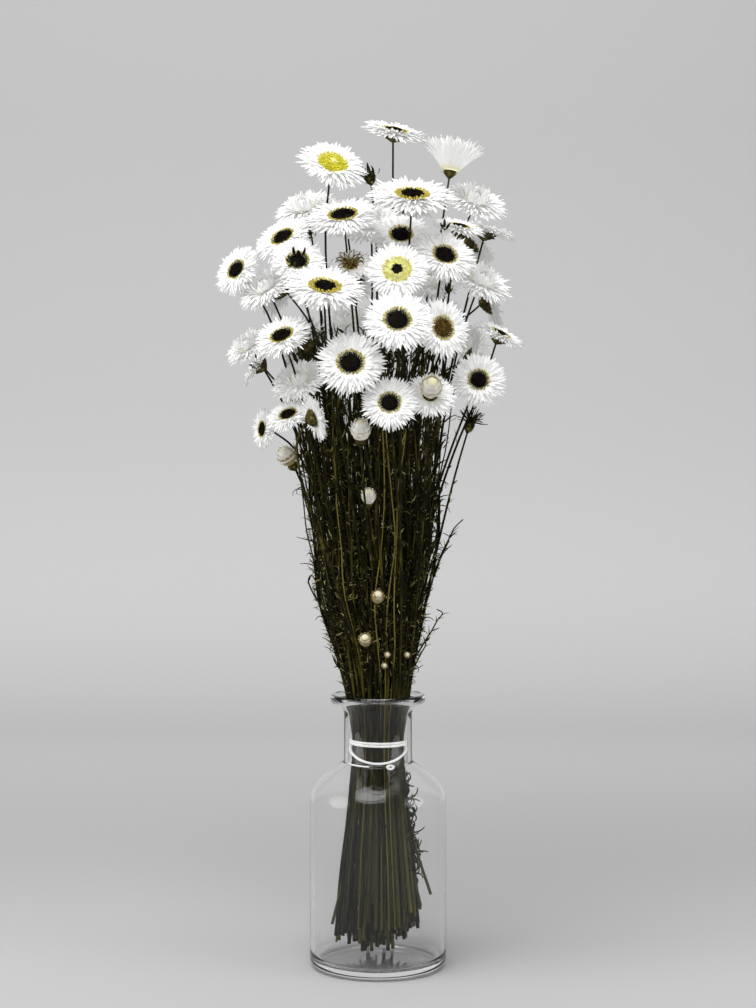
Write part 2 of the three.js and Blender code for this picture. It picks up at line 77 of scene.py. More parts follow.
def turn_to(facing):
    """The turn that brings +Z to a facing."""
    return Vector((0, 0, 1)).rotation_difference(Vector(facing)).to_matrix().to_4x4()


def stand_at(place, facing):
    """The matrix that sets a shape at a place, with its +Z along a facing."""
    return Matrix.Translation(Vector(place)) @ turn_to(facing)


def set_round(stand, angle, away, height, lean, size, twist=0.0):
    """Sets a unit shape beside an axis: turned about it, moved out and up, leaned, and sized."""
    return (stand @ Matrix.Rotation(angle, 4, "Z") @ Matrix.Translation((0, away, height))
            @ Matrix.Rotation(lean, 4, "X") @ Matrix.Rotation(twist, 4, "Y") @ Matrix.Diagonal((*size, 1)))


def around(angle, away, height):
    """A point at a distance from the bottle's axis."""
    return np.array((away * math.cos(angle), away * math.sin(angle), height))


def smooth_route(points, spans):
    """A rounder route through the same points."""
    points = [np.asarray(p, float) for p in points]
    ends = [2 * points[0] - points[1]] + points + [2 * points[-1] - points[-2]]
    route = []
    for a, b, c, d in zip(ends, ends[1:], ends[2:], ends[3:]):
        for step in range(spans):
            t = step / spans
            route.append(0.5 * (2 * b + (c - a) * t + (2 * a - 5 * b + 4 * c - d) * t * t
                                + (3 * b - a - 3 * c + d) * t ** 3))
    route.append(points[-1])
    return route


# %% Selecting and copying shapes
def only(piece):
    """Selects one piece and makes it active."""
    bpy.ops.object.select_all(action="DESELECT")
    piece.select_set(True)
    bpy.context.view_layer.objects.active = piece


def pick(piece, test):
    """Leaves edit mode, selects the vertices that pass a test on their place, and goes back in."""
    bpy.ops.object.mode_set(mode="OBJECT")
    for face in piece.data.polygons:
        face.select = False
    for edge in piece.data.edges:
        edge.select = False
    for corner in piece.data.vertices:
        corner.select = test(corner.co)
    bpy.ops.object.mode_set(mode="EDIT")
    bpy.ops.mesh.select_mode(type="VERT")


def read_master(piece):
    """Reads a modelled shape into arrays and removes its object."""
    mesh = piece.data
    places = np.empty(len(mesh.vertices) * 3)
    mesh.vertices.foreach_get("co", places)
    uvs = np.zeros(len(mesh.loops) * 2)
    if mesh.uv_layers.active:
        mesh.uv_layers.active.data.foreach_get("uv", uvs)
    corners = np.empty(len(mesh.loops), int)
    mesh.loops.foreach_get("vertex_index", corners)
    sizes = np.array([len(face.vertices) for face in mesh.polygons])
    bpy.data.objects.remove(piece)
    return {"places": places.reshape(-1, 3), "uvs": uvs.reshape(-1, 2), "corners": corners, "sizes": sizes}


def gather(name, copies, material, smooth=True):
    """One mesh from (master, matrix in millimetres, tone) copies, with UVs and a tone on each corner."""
    places, corners, sizes, uvs, tones = [], [], [], [], []
    start = 0
    for master, matrix, tone in copies:
        matrix = np.array(matrix)
        moved = master["places"] @ matrix[:3, :3].T + matrix[:3, 3]
        order = master["corners"]
        places.append(moved * MM)
        corners.append(order + start)
        sizes.append(master["sizes"])
        uvs.append(master["uvs"])
        tones.append(np.full(len(moved), tone))
        start += len(moved)
    places, corners, sizes = np.concatenate(places), np.concatenate(corners), np.concatenate(sizes)
    mesh = bpy.data.meshes.new(name)
    mesh.vertices.add(len(places))
    mesh.vertices.foreach_set("co", places.ravel())
    mesh.loops.add(len(corners))
    mesh.loops.foreach_set("vertex_index", corners)
    mesh.polygons.add(len(sizes))
    mesh.polygons.foreach_set("loop_start", np.concatenate([[0], np.cumsum(sizes)[:-1]]))
    mesh.polygons.foreach_set("loop_total", sizes)
    mesh.update(calc_edges=True)
    mesh.uv_layers.new(name="UVMap").data.foreach_set("uv", np.concatenate(uvs).ravel())
    mesh.attributes.new("tone", "FLOAT", "POINT").data.foreach_set("value", np.concatenate(tones))
    mesh.polygons.foreach_set("use_smooth", np.full(len(sizes), smooth))
    mesh.materials.append(material)
    piece = bpy.data.objects.new(name, mesh)
    bpy.context.scene.collection.objects.link(piece)
    return piece


def finish_piece(piece, slot, *stands_for):
    """Rides the piece on the one body and hides the nodes that it stands for. Its slot is not used."""
    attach(piece, "root")
    if stands_for:
        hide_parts(*stands_for)
    return piece


# %% [markdown]
# ## Camera, backdrop and light
# The bunch was seen from slightly above its middle, with a long lens: the mouth of the bottle
# is a thin ellipse and its base a rounder one, which gives the height and the distance. The
# backdrop is one pale sheet that sweeps up behind the bottle, so there is no horizon. Its grey
# changes softly on the way. This is painted light and shade: the paper itself is one plain grey,
# made lighter in some bands and darker in others. A wide soft light from above and the front and
# two side panels give the white petals their shape.

# %% Camera
CAMERA_PLACE = (0.0, -1.151, 0.302)
CAMERA_DOWN = 2.17
CAMERA_LENS = 74.0
CAMERA_SENSOR = 36.0


def set_camera():
    """The camera, looking along +Y and a little down."""
    camera = bpy.data.cameras.new("camera")
    camera.lens = CAMERA_LENS
    camera.sensor_width = CAMERA_SENSOR
    eye = bpy.data.objects.new("camera", camera)
    eye.location = CAMERA_PLACE
    eye.rotation_euler = (math.radians(90 - CAMERA_DOWN), 0, 0)
    bpy.context.scene.collection.objects.link(eye)
    bpy.context.scene.camera = eye


set_camera()
print("camera at", CAMERA_PLACE, "lens", CAMERA_LENS)

# %% Nodes that many finishes share
def map_range(tree, value, from_min, from_max, to_min=0.0, to_max=1.0):
    """A Map Range node on a value. Each limit is a number or a socket."""
    node = tree.nodes.new("ShaderNodeMapRange")
    tree.links.new(value, node.inputs["Value"])
    limits = {"From Min": from_min, "From Max": from_max, "To Min": to_min, "To Max": to_max}
    for label, limit in limits.items():
        if hasattr(limit, "is_linked"):
            tree.links.new(limit, node.inputs[label])
        else:
            node.inputs[label].default_value = limit
    return node.outputs["Result"]


def object_place(tree):
    """The place of a point in Object coordinates."""
    return tree.nodes.new("ShaderNodeTexCoord").outputs["Object"]


def object_axes(tree):
    """X, Y and Z of a point in Object coordinates."""
    apart = tree.nodes.new("ShaderNodeSeparateXYZ")
    tree.links.new(object_place(tree), apart.inputs[0])
    return apart.outputs


# %% Backdrop
BACKDROP_WIDTH = 6.0
BACKDROP_FRONT = -3.0
BACKDROP_BACK = 1.6
BACKDROP_HEIGHT = 3.0
BACKDROP_BEND = 0.7
BACKDROP_REACH = 2.5
# Greys along the sweep, from the floor up: painted light and shade on one plain paper.
BACKDROP_GREYS = ((0.0, 0.43), (0.12, 0.378), (0.33, 0.46), (0.56, 0.54), (0.76, 0.505))


def make_backdrop():
    """A plane whose back edge is pulled up and rounded into a sweep, in a few soft greys of painted light and shade.
    """
    bpy.ops.object.select_all(action="DESELECT")
    bpy.ops.mesh.primitive_plane_add(size=1, location=(0, 0, 0))
    sheet = bpy.context.object
    sheet.name = "backdrop"
    sheet.scale = (BACKDROP_WIDTH, BACKDROP_BACK - BACKDROP_FRONT, 1)
    sheet.location = (0, (BACKDROP_BACK + BACKDROP_FRONT) / 2, -0.0002)
    bpy.ops.object.transform_apply(location=True, scale=True)
    pick(sheet, lambda p: p.y > BACKDROP_BACK - 0.01)
    bpy.ops.mesh.extrude_region_move(TRANSFORM_OT_translate={"value": (0, 0, BACKDROP_HEIGHT)})
    pick(sheet, lambda p: p.y > BACKDROP_BACK - 0.01 and p.z < 0.1)
    bpy.ops.mesh.bevel(offset=BACKDROP_BEND, segments=16, affect="EDGES")
    bpy.ops.object.mode_set(mode="OBJECT")
    bpy.ops.object.shade_smooth()
    paper = bpy.data.materials.new("backdrop_paper")
    paper.use_nodes = True
    tree = paper.node_tree
    shader = tree.nodes["Principled BSDF"]
    apart = object_axes(tree)
    along = tree.nodes.new("ShaderNodeMath")
    along.operation = "ADD"
    tree.links.new(apart["Y"], along.inputs[0])
    tree.links.new(apart["Z"], along.inputs[1])
    share = map_range(tree, along.outputs[0], 0, BACKDROP_REACH)
    greys = tree.nodes.new("ShaderNodeValToRGB")
    greys.color_ramp.interpolation = "EASE"
    while len(greys.color_ramp.elements) < len(BACKDROP_GREYS):
        greys.color_ramp.elements.new(0.5)
    for stop, (place_along, grey) in zip(greys.color_ramp.elements, BACKDROP_GREYS):
        stop.position = place_along
        stop.color = (grey, grey, grey, 1)
    tree.links.new(share, greys.inputs["Fac"])
    tree.links.new(greys.outputs["Color"], shader.inputs["Base Color"])
    shader.inputs["Roughness"].default_value = 0.95
    shader.inputs["Specular IOR Level"].default_value = 0.1
    sheet.data.materials.append(paper)


make_backdrop()
print("backdrop greys", [grey for share, grey in BACKDROP_GREYS])

# %% Lights
LIGHTS = {
    "top_softbox": {"at": (-0.35, -0.9, 1.9), "aim": (0, 0, 0.3), "size": 1.6, "power": 33},
    "left_panel": {"at": (-1.7, -0.5, 0.8), "aim": (0, 0, 0.3), "size": 1.3, "power": 12},
    "right_panel": {"at": (1.7, -0.7, 0.9), "aim": (0, 0, 0.3), "size": 1.3, "power": 11},
    "backdrop_wash": {"at": (0, 0.2, 2.4), "aim": (0, 1.2, 0.3), "size": 2.0, "power": 11},
}
ROOM_GREY = (0.80, 0.80, 0.80, 1)
ROOM_STRENGTH = 0.58


def set_lights():
    """Round area lights that aim at the bunch, and an even grey room round it."""
    for name, facts in LIGHTS.items():
        lamp = bpy.data.lights.new(name, "AREA")
        lamp.shape = "DISK"
        lamp.size = facts["size"]
        lamp.energy = facts["power"]
        holder = bpy.data.objects.new(name, lamp)
        holder.location = facts["at"]
        aim = Vector(facts["aim"]) - Vector(facts["at"])
        holder.rotation_euler = aim.to_track_quat("-Z", "Y").to_euler()
        bpy.context.scene.collection.objects.link(holder)
    world = bpy.data.worlds.new("room")
    world.use_nodes = True
    air = world.node_tree.nodes["Background"]
    air.inputs["Color"].default_value = ROOM_GREY
    air.inputs["Strength"].default_value = ROOM_STRENGTH
    bpy.context.scene.world = world
    bpy.context.scene.view_settings.view_transform = "Standard"


set_lights()
print("lights", ", ".join(LIGHTS))

# %% [markdown]
# ## Finishes
# Everything here is dry plant, string or glass. Two effects are shared, so they are node
# groups: dry grain, a stretched noise that mottles stems, leaves, discs and string, and petal
# streaks, the fine lengthwise lines of a papery petal. Petals read their own UV map, whose V
# runs from root to tip. The rest read Object coordinates. Each copied petal, leaf or stem also
# carries its own tone, so no two look quite alike. Stems and leaves with the highest tones turn
# pale, partly from their own straw colour and partly as painted glints. Low down, the stems go
# over to a colour between dark and tan that differs from stem to stem.

# %% Node helpers
def new_group(name, inputs, outputs):
    """An empty node group with its inputs and outputs."""
    group = bpy.data.node_groups.new(name, "ShaderNodeTree")
    for label, kind, value in inputs:
        socket = group.interface.new_socket(label, in_out="INPUT", socket_type=kind)
        if value is not None:
            socket.default_value = value
    for label, kind in outputs:
        group.interface.new_socket(label, in_out="OUTPUT", socket_type=kind)
    return group, group.nodes.new("NodeGroupInput"), group.nodes.new("NodeGroupOutput")


def mix_color(tree, share, low, high):
    """A Mix node between two colours, each a socket or a plain colour."""
    mix = tree.nodes.new("ShaderNodeMix")
    mix.data_type = "RGBA"
    for slot_name, value in (("Factor", share), ("A", low), ("B", high)):
        kinds = [s for s in mix.inputs if s.name == slot_name and s.enabled]
        if hasattr(value, "is_linked"):
            tree.links.new(value, kinds[0])
        else:
            kinds[0].default_value = value
    return next(s for s in mix.outputs if s.enabled)


def new_finish(name, roughness, specular=0.3):
    """A new material, its node tree and its shader."""
    finish = bpy.data.materials.new(name)
    finish.use_nodes = True
    shader = finish.node_tree.nodes["Principled BSDF"]
    shader.inputs["Roughness"].default_value = roughness
    shader.inputs["Specular IOR Level"].default_value = specular
    return finish, finish.node_tree, shader


def place_group(tree, group, **values):
    """Places a node group and fills its inputs, where _ stands for a space."""
    holder = tree.nodes.new("ShaderNodeGroup")
    holder.node_tree = group
    for label, value in values.items():
        socket = holder.inputs[label.replace("_", " ")]
        if hasattr(value, "is_linked"):
            tree.links.new(value, socket)
        else:
            socket.default_value = value
    return holder


def copy_tone(tree):
    """The number from 0 to 1 that each copied petal, leaf or stem carries."""
    tone = tree.nodes.new("ShaderNodeAttribute")
    tone.attribute_name = "tone"
    return tone.outputs["Fac"]


def add_bump(tree, shader, height, strength, distance):
    """Roughens a shader's surface by a height."""
    bump = tree.nodes.new("ShaderNodeBump")
    bump.inputs["Strength"].default_value = strength
    bump.inputs["Distance"].default_value = distance
    tree.links.new(height, bump.inputs["Height"])
    tree.links.new(bump.outputs["Normal"], shader.inputs["Normal"])


# %% Dry grain
def make_dry_grain():
    """Mottles a surface between three colours with a stretched noise, and gives a height."""
    group, given, made = new_group(
        "Dry Grain",
        [("Coordinates", "NodeSocketVector", None), ("Stretch", "NodeSocketVector", (1, 1, 1)),
         ("Scale", "NodeSocketFloat", 100.0), ("Dark", "NodeSocketColor", (0, 0, 0, 1)),
         ("Middle", "NodeSocketColor", (0.1, 0.1, 0.1, 1)), ("Light", "NodeSocketColor", (1, 1, 1, 1))],
        [("Color", "NodeSocketColor"), ("Height", "NodeSocketFloat")])
    stretched = group.nodes.new("ShaderNodeVectorMath")
    stretched.operation = "MULTIPLY"
    group.links.new(given.outputs["Coordinates"], stretched.inputs[0])
    group.links.new(given.outputs["Stretch"], stretched.inputs[1])
    noise = group.nodes.new("ShaderNodeTexNoise")
    noise.inputs["Detail"].default_value = 4
    group.links.new(stretched.outputs[0], noise.inputs["Vector"])
    group.links.new(given.outputs["Scale"], noise.inputs["Scale"])
    grain = noise.outputs["Fac"]
    lower = mix_color(group, map_range(group, grain, 0.35, 0.65), given.outputs["Dark"], given.outputs["Middle"])
    upper = mix_color(group, map_range(group, grain, 0.55, 0.75), lower, given.outputs["Light"])
    group.links.new(upper, made.inputs["Color"])
    group.links.new(grain, made.inputs["Height"])
    return group


DRY_GRAIN = make_dry_grain()
print("node group", DRY_GRAIN.name)


# %% Petal streaks
def make_petal_streaks():
    """Fine lines along a petal, with another colour at its root."""
    group, given, made = new_group(
        "Petal Streaks",
        [("UV", "NodeSocketVector", None), ("Lines", "NodeSocketFloat", 12.0),
         ("Root Share", "NodeSocketFloat", 0.2), ("Root", "NodeSocketColor", (0.5, 0.5, 0.2, 1)),
         ("Shade", "NodeSocketColor", (0.7, 0.7, 0.7, 1)), ("Paper", "NodeSocketColor", (0.9, 0.9, 0.9, 1))],
        [("Color", "NodeSocketColor"), ("Height", "NodeSocketFloat")])
    apart = group.nodes.new("ShaderNodeSeparateXYZ")
    group.links.new(given.outputs["UV"], apart.inputs[0])
    across = group.nodes.new("ShaderNodeMath")
    across.operation = "MULTIPLY"
    group.links.new(apart.outputs["X"], across.inputs[0])
    group.links.new(given.outputs["Lines"], across.inputs[1])
    together = group.nodes.new("ShaderNodeCombineXYZ")
    group.links.new(across.outputs[0], together.inputs["X"])
    group.links.new(apart.outputs["Y"], together.inputs["Y"])
    noise = group.nodes.new("ShaderNodeTexNoise")
    noise.inputs["Scale"].default_value = 1.4
    noise.inputs["Detail"].default_value = 3
    group.links.new(together.outputs[0], noise.inputs["Vector"])
    lines = map_range(group, noise.outputs["Fac"], 0.3, 0.7)
    paper = mix_color(group, lines, given.outputs["Shade"], given.outputs["Paper"])
    rooted = map_range(group, apart.outputs["Y"], 0, given.outputs["Root Share"], 1, 0)
    group.links.new(mix_color(group, rooted, paper, given.outputs["Root"]), made.inputs["Color"])
    group.links.new(noise.outputs["Fac"], made.inputs["Height"])
    return group


PETAL_STREAKS = make_petal_streaks()
print("node group", PETAL_STREAKS.name)


# %% Petals and buds
def paper_finish(name, lines, root_share, root, shade, paper, low_tone, roughness, glow=0.0):
    """Papery petals or scales. The low tone darkens some copies, the glow stands for light shining through."""
    finish, tree, shader = new_finish(name, roughness, 0.25)
    lengthwise = tree.nodes.new("ShaderNodeTexCoord").outputs["UV"]
    streaks = place_group(tree, PETAL_STREAKS, UV=lengthwise, Lines=lines, Root_Share=root_share,
                          Root=root, Shade=shade, Paper=paper)
    tinted = tree.nodes.new("ShaderNodeMix")
    tinted.data_type = "RGBA"
    tinted.blend_type = "MULTIPLY"
    tinted.inputs[0].default_value = 1.0
    tree.links.new(streaks.outputs["Color"], tinted.inputs[6])
    tree.links.new(mix_color(tree, copy_tone(tree), low_tone, (1, 1, 1, 1)), tinted.inputs[7])
    tree.links.new(tinted.outputs[2], shader.inputs["Base Color"])
    add_bump(tree, shader, streaks.outputs["Height"], 0.35, 0.0002)
    shader.inputs["Emission Color"].default_value = (1, 1, 0.99, 1)
    shader.inputs["Emission Strength"].default_value = glow
    return finish


WHITE_PETAL = paper_finish("white_petal_paper", 9.0, 0.22, (0.80, 0.77, 0.38, 1), (0.80, 0.80, 0.79, 1),
                           (0.96, 0.96, 0.955, 1), (0.93, 0.93, 0.93, 1), 0.7, 0.07)
FAN_PETAL = paper_finish("closing_petal_paper", 9.0, 0.22, (0.80, 0.77, 0.38, 1), (0.86, 0.86, 0.85, 1),
                         (0.96, 0.96, 0.955, 1), (0.95, 0.95, 0.95, 1), 0.7, 0.16)
CREAM_BUD = paper_finish("cream_bud_paper", 6.0, 0.12, (0.75, 0.70, 0.48, 1), (0.80, 0.79, 0.72, 1),
                         (0.92, 0.915, 0.88, 1), (0.36, 0.26, 0.08, 1), 0.6)
print("papery finishes", WHITE_PETAL.name, FAN_PETAL.name, CREAM_BUD.name)


# %% Stems, leaves, discs and string
# Tone above which a pale colour shows. On stems and leaves it is partly their straw colour and partly painted glints.
PALE_AND_GLINT_TONE = 0.72
FOOT_BLEND_HEIGHTS = (0.125, 0.06)


def grain_finish(name, scale, stretch, dark, middle, light, roughness, bump=0.3, pale=None, foot=None):
    """Mottled dry skin. A pale colour shows on copies with a high tone: paler yellow on florets, partly straw colour
    and partly painted glints on stems and leaves. A foot colour shows low down.
    """
    finish, tree, shader = new_finish(name, roughness, 0.1)
    grain = place_group(tree, DRY_GRAIN, Coordinates=object_place(tree), Stretch=stretch, Scale=scale,
                        Dark=dark, Middle=middle, Light=light)
    color = grain.outputs["Color"]
    # The pale colour on high-tone copies. On stems and leaves it is partly straw colour and partly painted glints.
    if pale:
        color = mix_color(tree, map_range(tree, copy_tone(tree), PALE_AND_GLINT_TONE, 1), color, pale)
    # Low down, the colour goes over to a blend of dark and the foot colour, set by each copy's tone.
    if foot:
        foot_blend = mix_color(tree, copy_tone(tree), dark, foot)
        low = map_range(tree, object_axes(tree)["Z"], *FOOT_BLEND_HEIGHTS, 0, 0.9)
        color = mix_color(tree, low, color, foot_blend)
    tree.links.new(color, shader.inputs["Base Color"])
    add_bump(tree, shader, grain.outputs["Height"], bump, 0.0003)
    return finish


# The last colour of the stem bark and of the leaf skin is the pale one: partly straw colour, partly painted glints.
STEM_BARK = grain_finish("dry_stem", 300.0, (1, 1, 0.05), (0.004, 0.004, 0.0008, 1), (0.025, 0.0225, 0.004, 1),
                         (0.10, 0.087, 0.013, 1), 0.7, 0.3, (0.20, 0.165, 0.035, 1), (0.17, 0.155, 0.035, 1))
LEAF_SKIN = grain_finish("dry_leaf", 420.0, (1, 1, 0.6), (0.005, 0.005, 0.001, 1), (0.030, 0.029, 0.005, 1),
                         (0.15, 0.14, 0.025, 1), 0.7, 0.3, (0.42, 0.39, 0.15, 1))
CUP_GREEN = grain_finish("olive_cup", 500.0, (1, 1, 1), (0.03, 0.025, 0.008, 1), (0.09, 0.075, 0.02, 1),
                         (0.25, 0.20, 0.05, 1), 0.7)
DARK_DISC = grain_finish("dark_floret", 900.0, (1, 1, 1), (0.004, 0.003, 0.002, 1), (0.013, 0.009, 0.006, 1),
                         (0.045, 0.03, 0.018, 1), 0.45)
YELLOW_FLORET = grain_finish("yellow_floret", 900.0, (1, 1, 1), (0.42, 0.35, 0.05, 1), (0.74, 0.66, 0.17, 1),
                             (0.90, 0.85, 0.42, 1), 0.7)
LEMON_FLORET = grain_finish("lemon_floret", 900.0, (1, 1, 1), (0.58, 0.54, 0.03, 1), (0.80, 0.76, 0.07, 1),
                            (0.93, 0.90, 0.35, 1), 0.7, 0.3, (0.93, 0.92, 0.56, 1))
TAN_FLORET = grain_finish("tan_floret", 900.0, (1, 1, 1), (0.05, 0.03, 0.008, 1), (0.20, 0.13, 0.03, 1),
                          (0.5, 0.38, 0.13, 1), 0.7)
COTTON = grain_finish("cotton_string", 1500.0, (1, 1, 1), (0.80, 0.80, 0.78, 1), (0.92, 0.92, 0.91, 1),
                      (0.97, 0.97, 0.96, 1), 0.9)
# The cotton gets a weak glow: painted light that brightens the white string.
cotton_shader = COTTON.node_tree.nodes["Principled BSDF"]
cotton_shader.inputs["Emission Color"].default_value = (1, 1, 1, 1)
cotton_shader.inputs["Emission Strength"].default_value = 0.3
print("finishes so far", len(bpy.data.materials))

# %% [markdown]
# The glass is the same shader as the rest, with full transmission. Its index of refraction is
# lower than that of real glass, because the bottle's edges are so faint in the photo. A weak
# noise tilts its surface a little and smudges it.

# %% Glass
def glass_finish():
    """Clear, faintly grey glass whose surface is a little uneven and smudged."""
    finish, tree, shader = new_finish("clear_glass", 0.02, 0.3)
    shader.inputs["Base Color"].default_value = (0.955, 0.96, 0.955, 1)
    shader.inputs["Transmission Weight"].default_value = 1.0
    shader.inputs["IOR"].default_value = 1.33
    ripple = tree.nodes.new("ShaderNodeTexNoise")
    ripple.inputs["Scale"].default_value = 22
    tree.links.new(object_place(tree), ripple.inputs["Vector"])
    add_bump(tree, shader, ripple.outputs["Fac"], 0.03, 0.002)
    tree.links.new(map_range(tree, ripple.outputs["Fac"], 0.5, 0.8, 0.01, 0.025), shader.inputs["Roughness"])
    return finish


GLASS = glass_finish()
print("finish", GLASS.name)

# %% [markdown]
# ## The bottle
# The bottle is a body of revolution: a straight body, a round shoulder, a narrow neck and a
# rolled lip, with a wall of even thickness and a thicker base. It is made as on a lathe: one
# point is extruded along the half outline, the outline is spun about the axis, and the seam is
# merged. The outline repeats the sizes of the plain solid, but with many more points on its
# curves.

# %% Spin an outline
def start_point(name, place):
    """A single vertex, cut down from a plane, from which an outline is drawn."""
    bpy.ops.object.select_all(action="DESELECT")
    bpy.ops.mesh.primitive_plane_add(size=1, location=(0, 0, 0))
    piece = bpy.context.object
    piece.name = name
    pick(piece, lambda p: p.x > 0 or p.y > 0)
    bpy.ops.mesh.delete(type="VERT")
    bpy.ops.mesh.select_all(action="SELECT")
    bpy.ops.transform.translate(value=Vector(place) - Vector((-0.5, -0.5, 0)))
    return piece


def spin_outline(name, outline, steps):
    """Draws (radius, height) points by extruding one vertex, and spins them into a closed solid."""
    first = Vector((outline[0][0], 0, outline[0][1]))
    piece = start_point(name, first)
    last = first
    for away, height in outline[1:]:
        place = Vector((away, 0, height))
        bpy.ops.mesh.extrude_region_move(TRANSFORM_OT_translate={"value": place - last})
        last = place
    bpy.ops.mesh.select_all(action="SELECT")
    bpy.ops.mesh.spin(steps=steps, angle=2 * math.pi, center=(0, 0, 0), axis=(0, 0, 1))
    bpy.ops.mesh.select_all(action="SELECT")
    bpy.ops.mesh.remove_doubles(threshold=1e-7)
    bpy.ops.mesh.normals_make_consistent(inside=False)
    bpy.ops.object.mode_set(mode="OBJECT")
    bpy.ops.object.shade_smooth()
    return piece


def arc(start, pull, end, steps=8):
    """Points of a curve that leaves start towards pull and arrives at end."""
    start, pull, end = (np.array(p, float) for p in (start, pull, end))
    shares = np.linspace(0, 1, steps + 1)[1:]
    return [tuple((1 - t) ** 2 * start + 2 * t * (1 - t) * pull + t * t * end) for t in shares]


# %% Bottle outline
BODY_RADIUS = 38.25
BODY_TOP = 92
HEEL = 6
BASE_THICKNESS = 4
WALL = 2.4
NECK_RADIUS = 19
NECK_BOTTOM = 115.5
FLARE_BOTTOM = 141
LIP_RADIUS = 26.4
LIP_BOTTOM = 147.5
RIM_HEIGHT = 152.5
LIP_ROUND = 2.4
SHOULDER = (38.25, 104, 25, 110)


def shoulder(inset, steps=14):
    """The shoulder's S from the body to the neck, moved in by an inset."""
    a = np.array((BODY_RADIUS - inset, BODY_TOP))
    b = np.array((SHOULDER[0] - inset, SHOULDER[1] - inset))
    c = np.array((SHOULDER[2] - inset, SHOULDER[3] - inset))
    d = np.array((NECK_RADIUS - inset, NECK_BOTTOM - inset))
    shares = np.linspace(0, 1, steps + 1)
    return [tuple((1 - t) ** 3 * a + 3 * t * (1 - t) ** 2 * b + 3 * t * t * (1 - t) * c + t ** 3 * d) for t in shares]


def bottle_outline():
    """Half of the bottle's section: up the outside to the lip, and down the inside to the floor."""
    inside, neck_inside = BODY_RADIUS - WALL, NECK_RADIUS - WALL
    middle = (LIP_BOTTOM + RIM_HEIGHT) / 2
    corner = (LIP_RADIUS - LIP_ROUND, LIP_BOTTOM)
    outline = [(0, 0), (BODY_RADIUS - HEEL - 1, 0), (BODY_RADIUS - HEEL, 0)]
    outline += arc((BODY_RADIUS - HEEL, 0), (BODY_RADIUS, 0), (BODY_RADIUS, HEEL))
    outline += shoulder(0)
    outline += [(NECK_RADIUS, FLARE_BOTTOM)]
    outline += arc((NECK_RADIUS, FLARE_BOTTOM), (NECK_RADIUS, LIP_BOTTOM - 1), corner)
    outline += arc(corner, (LIP_RADIUS, LIP_BOTTOM), (LIP_RADIUS, middle), 6)
    outline += arc((LIP_RADIUS, middle), (LIP_RADIUS, RIM_HEIGHT), (LIP_RADIUS - LIP_ROUND, RIM_HEIGHT), 6)
    outline += arc((LIP_RADIUS - LIP_ROUND, RIM_HEIGHT), (neck_inside + 1, LIP_BOTTOM),
                   (neck_inside, FLARE_BOTTOM - WALL))
    outline += shoulder(WALL)[::-1]
    outline += [(inside, BASE_THICKNESS + HEEL)]
    outline += arc((inside, BASE_THICKNESS + HEEL), (inside, BASE_THICKNESS), (29, BASE_THICKNESS))
    outline += [(0, BASE_THICKNESS)]
    return [(away * MM, height * MM) for away, height in outline]


# %% Make the bottle
def make_bottle():
    """The spun bottle, which stands for the plain one."""
    bottle = spin_outline("bottle_glass", bottle_outline(), 96)
    bottle.data.materials.append(GLASS)
    finish_piece(bottle, "glass", "bottle")
    print("bottle faces", len(bottle.data.polygons))


make_bottle()

# %% [markdown]
# ## Where each bloom sits
# The frame has one ring of petals for each bloom. A ring is the same all the way round, so its
# middle and the way it faces can be read from it: the facing is the direction in which the ring
# is thinnest. The lowest edge of the hole tells which side is the back. One bloom is closing,
# and its ring is a deep cup, so its facing and the lift of its petals are given.

# %% Read the rings
CUPPED = {"bloom_petals_03": ((0.15, 0.12, 0.98), 50)}


def ring_place(name):
    """Place, facing, radius and hole of a bloom, in millimetres, from its ring of petals."""
    mesh = nodes[name].data
    points = np.empty(len(mesh.vertices) * 3)
    mesh.vertices.foreach_get("co", points)
    points = np.unique(np.round(points.reshape(-1, 3) / MM, 3), axis=0)
    middle = points.mean(axis=0)
    facing = np.linalg.svd(points - middle, full_matrices=False)[2][2]
    lift = 0
    if name in CUPPED:
        facing, lift = unit(CUPPED[name][0]), CUPPED[name][1]
    heights = (points - middle) @ facing
    across = np.linalg.norm(points - middle - np.outer(heights, facing), axis=1)
    if across[np.argmin(heights)] > 0.5 * across.max():
        facing, heights = -facing, -heights
    at = middle + facing * heights.min()
    return {"at": at, "facing": facing, "radius": across.max(), "hole": across.min(), "lift": lift, "node": name}


blooms = [ring_place(name) for name in petal_nodes]
for place in blooms[:3]:
    print(place["node"], np.round(place["at"], 1), np.round(place["facing"], 2), round(place["radius"], 1))

# %% [markdown]
# ## One petal, modelled
# A petal of an everlasting daisy is a narrow papery blade: narrow at its root, widest past its
# middle, with a notched tip and a shallow fold along its length. It starts as a flat grid whose
# rows are squeezed and lifted one by one. Three forms, flat, cupped and curled, are enough,
# because each copy gets its own size, pitch and twist.

# %% Petal masters
PETAL_WIDTHS = (0.5, 0.8, 1.0, 1.0, 0.9, 0.62, 0.14)
PETAL_FORMS = {
    "flat": (0.0, 0.01, 0.02, 0.02, 0.01, 0.0, -0.02),
    "cupped": (0.0, 0.0, 0.005, 0.015, 0.04, 0.07, 0.11),
    "curled": (0.0, 0.015, 0.03, 0.035, 0.025, -0.01, -0.06),
}


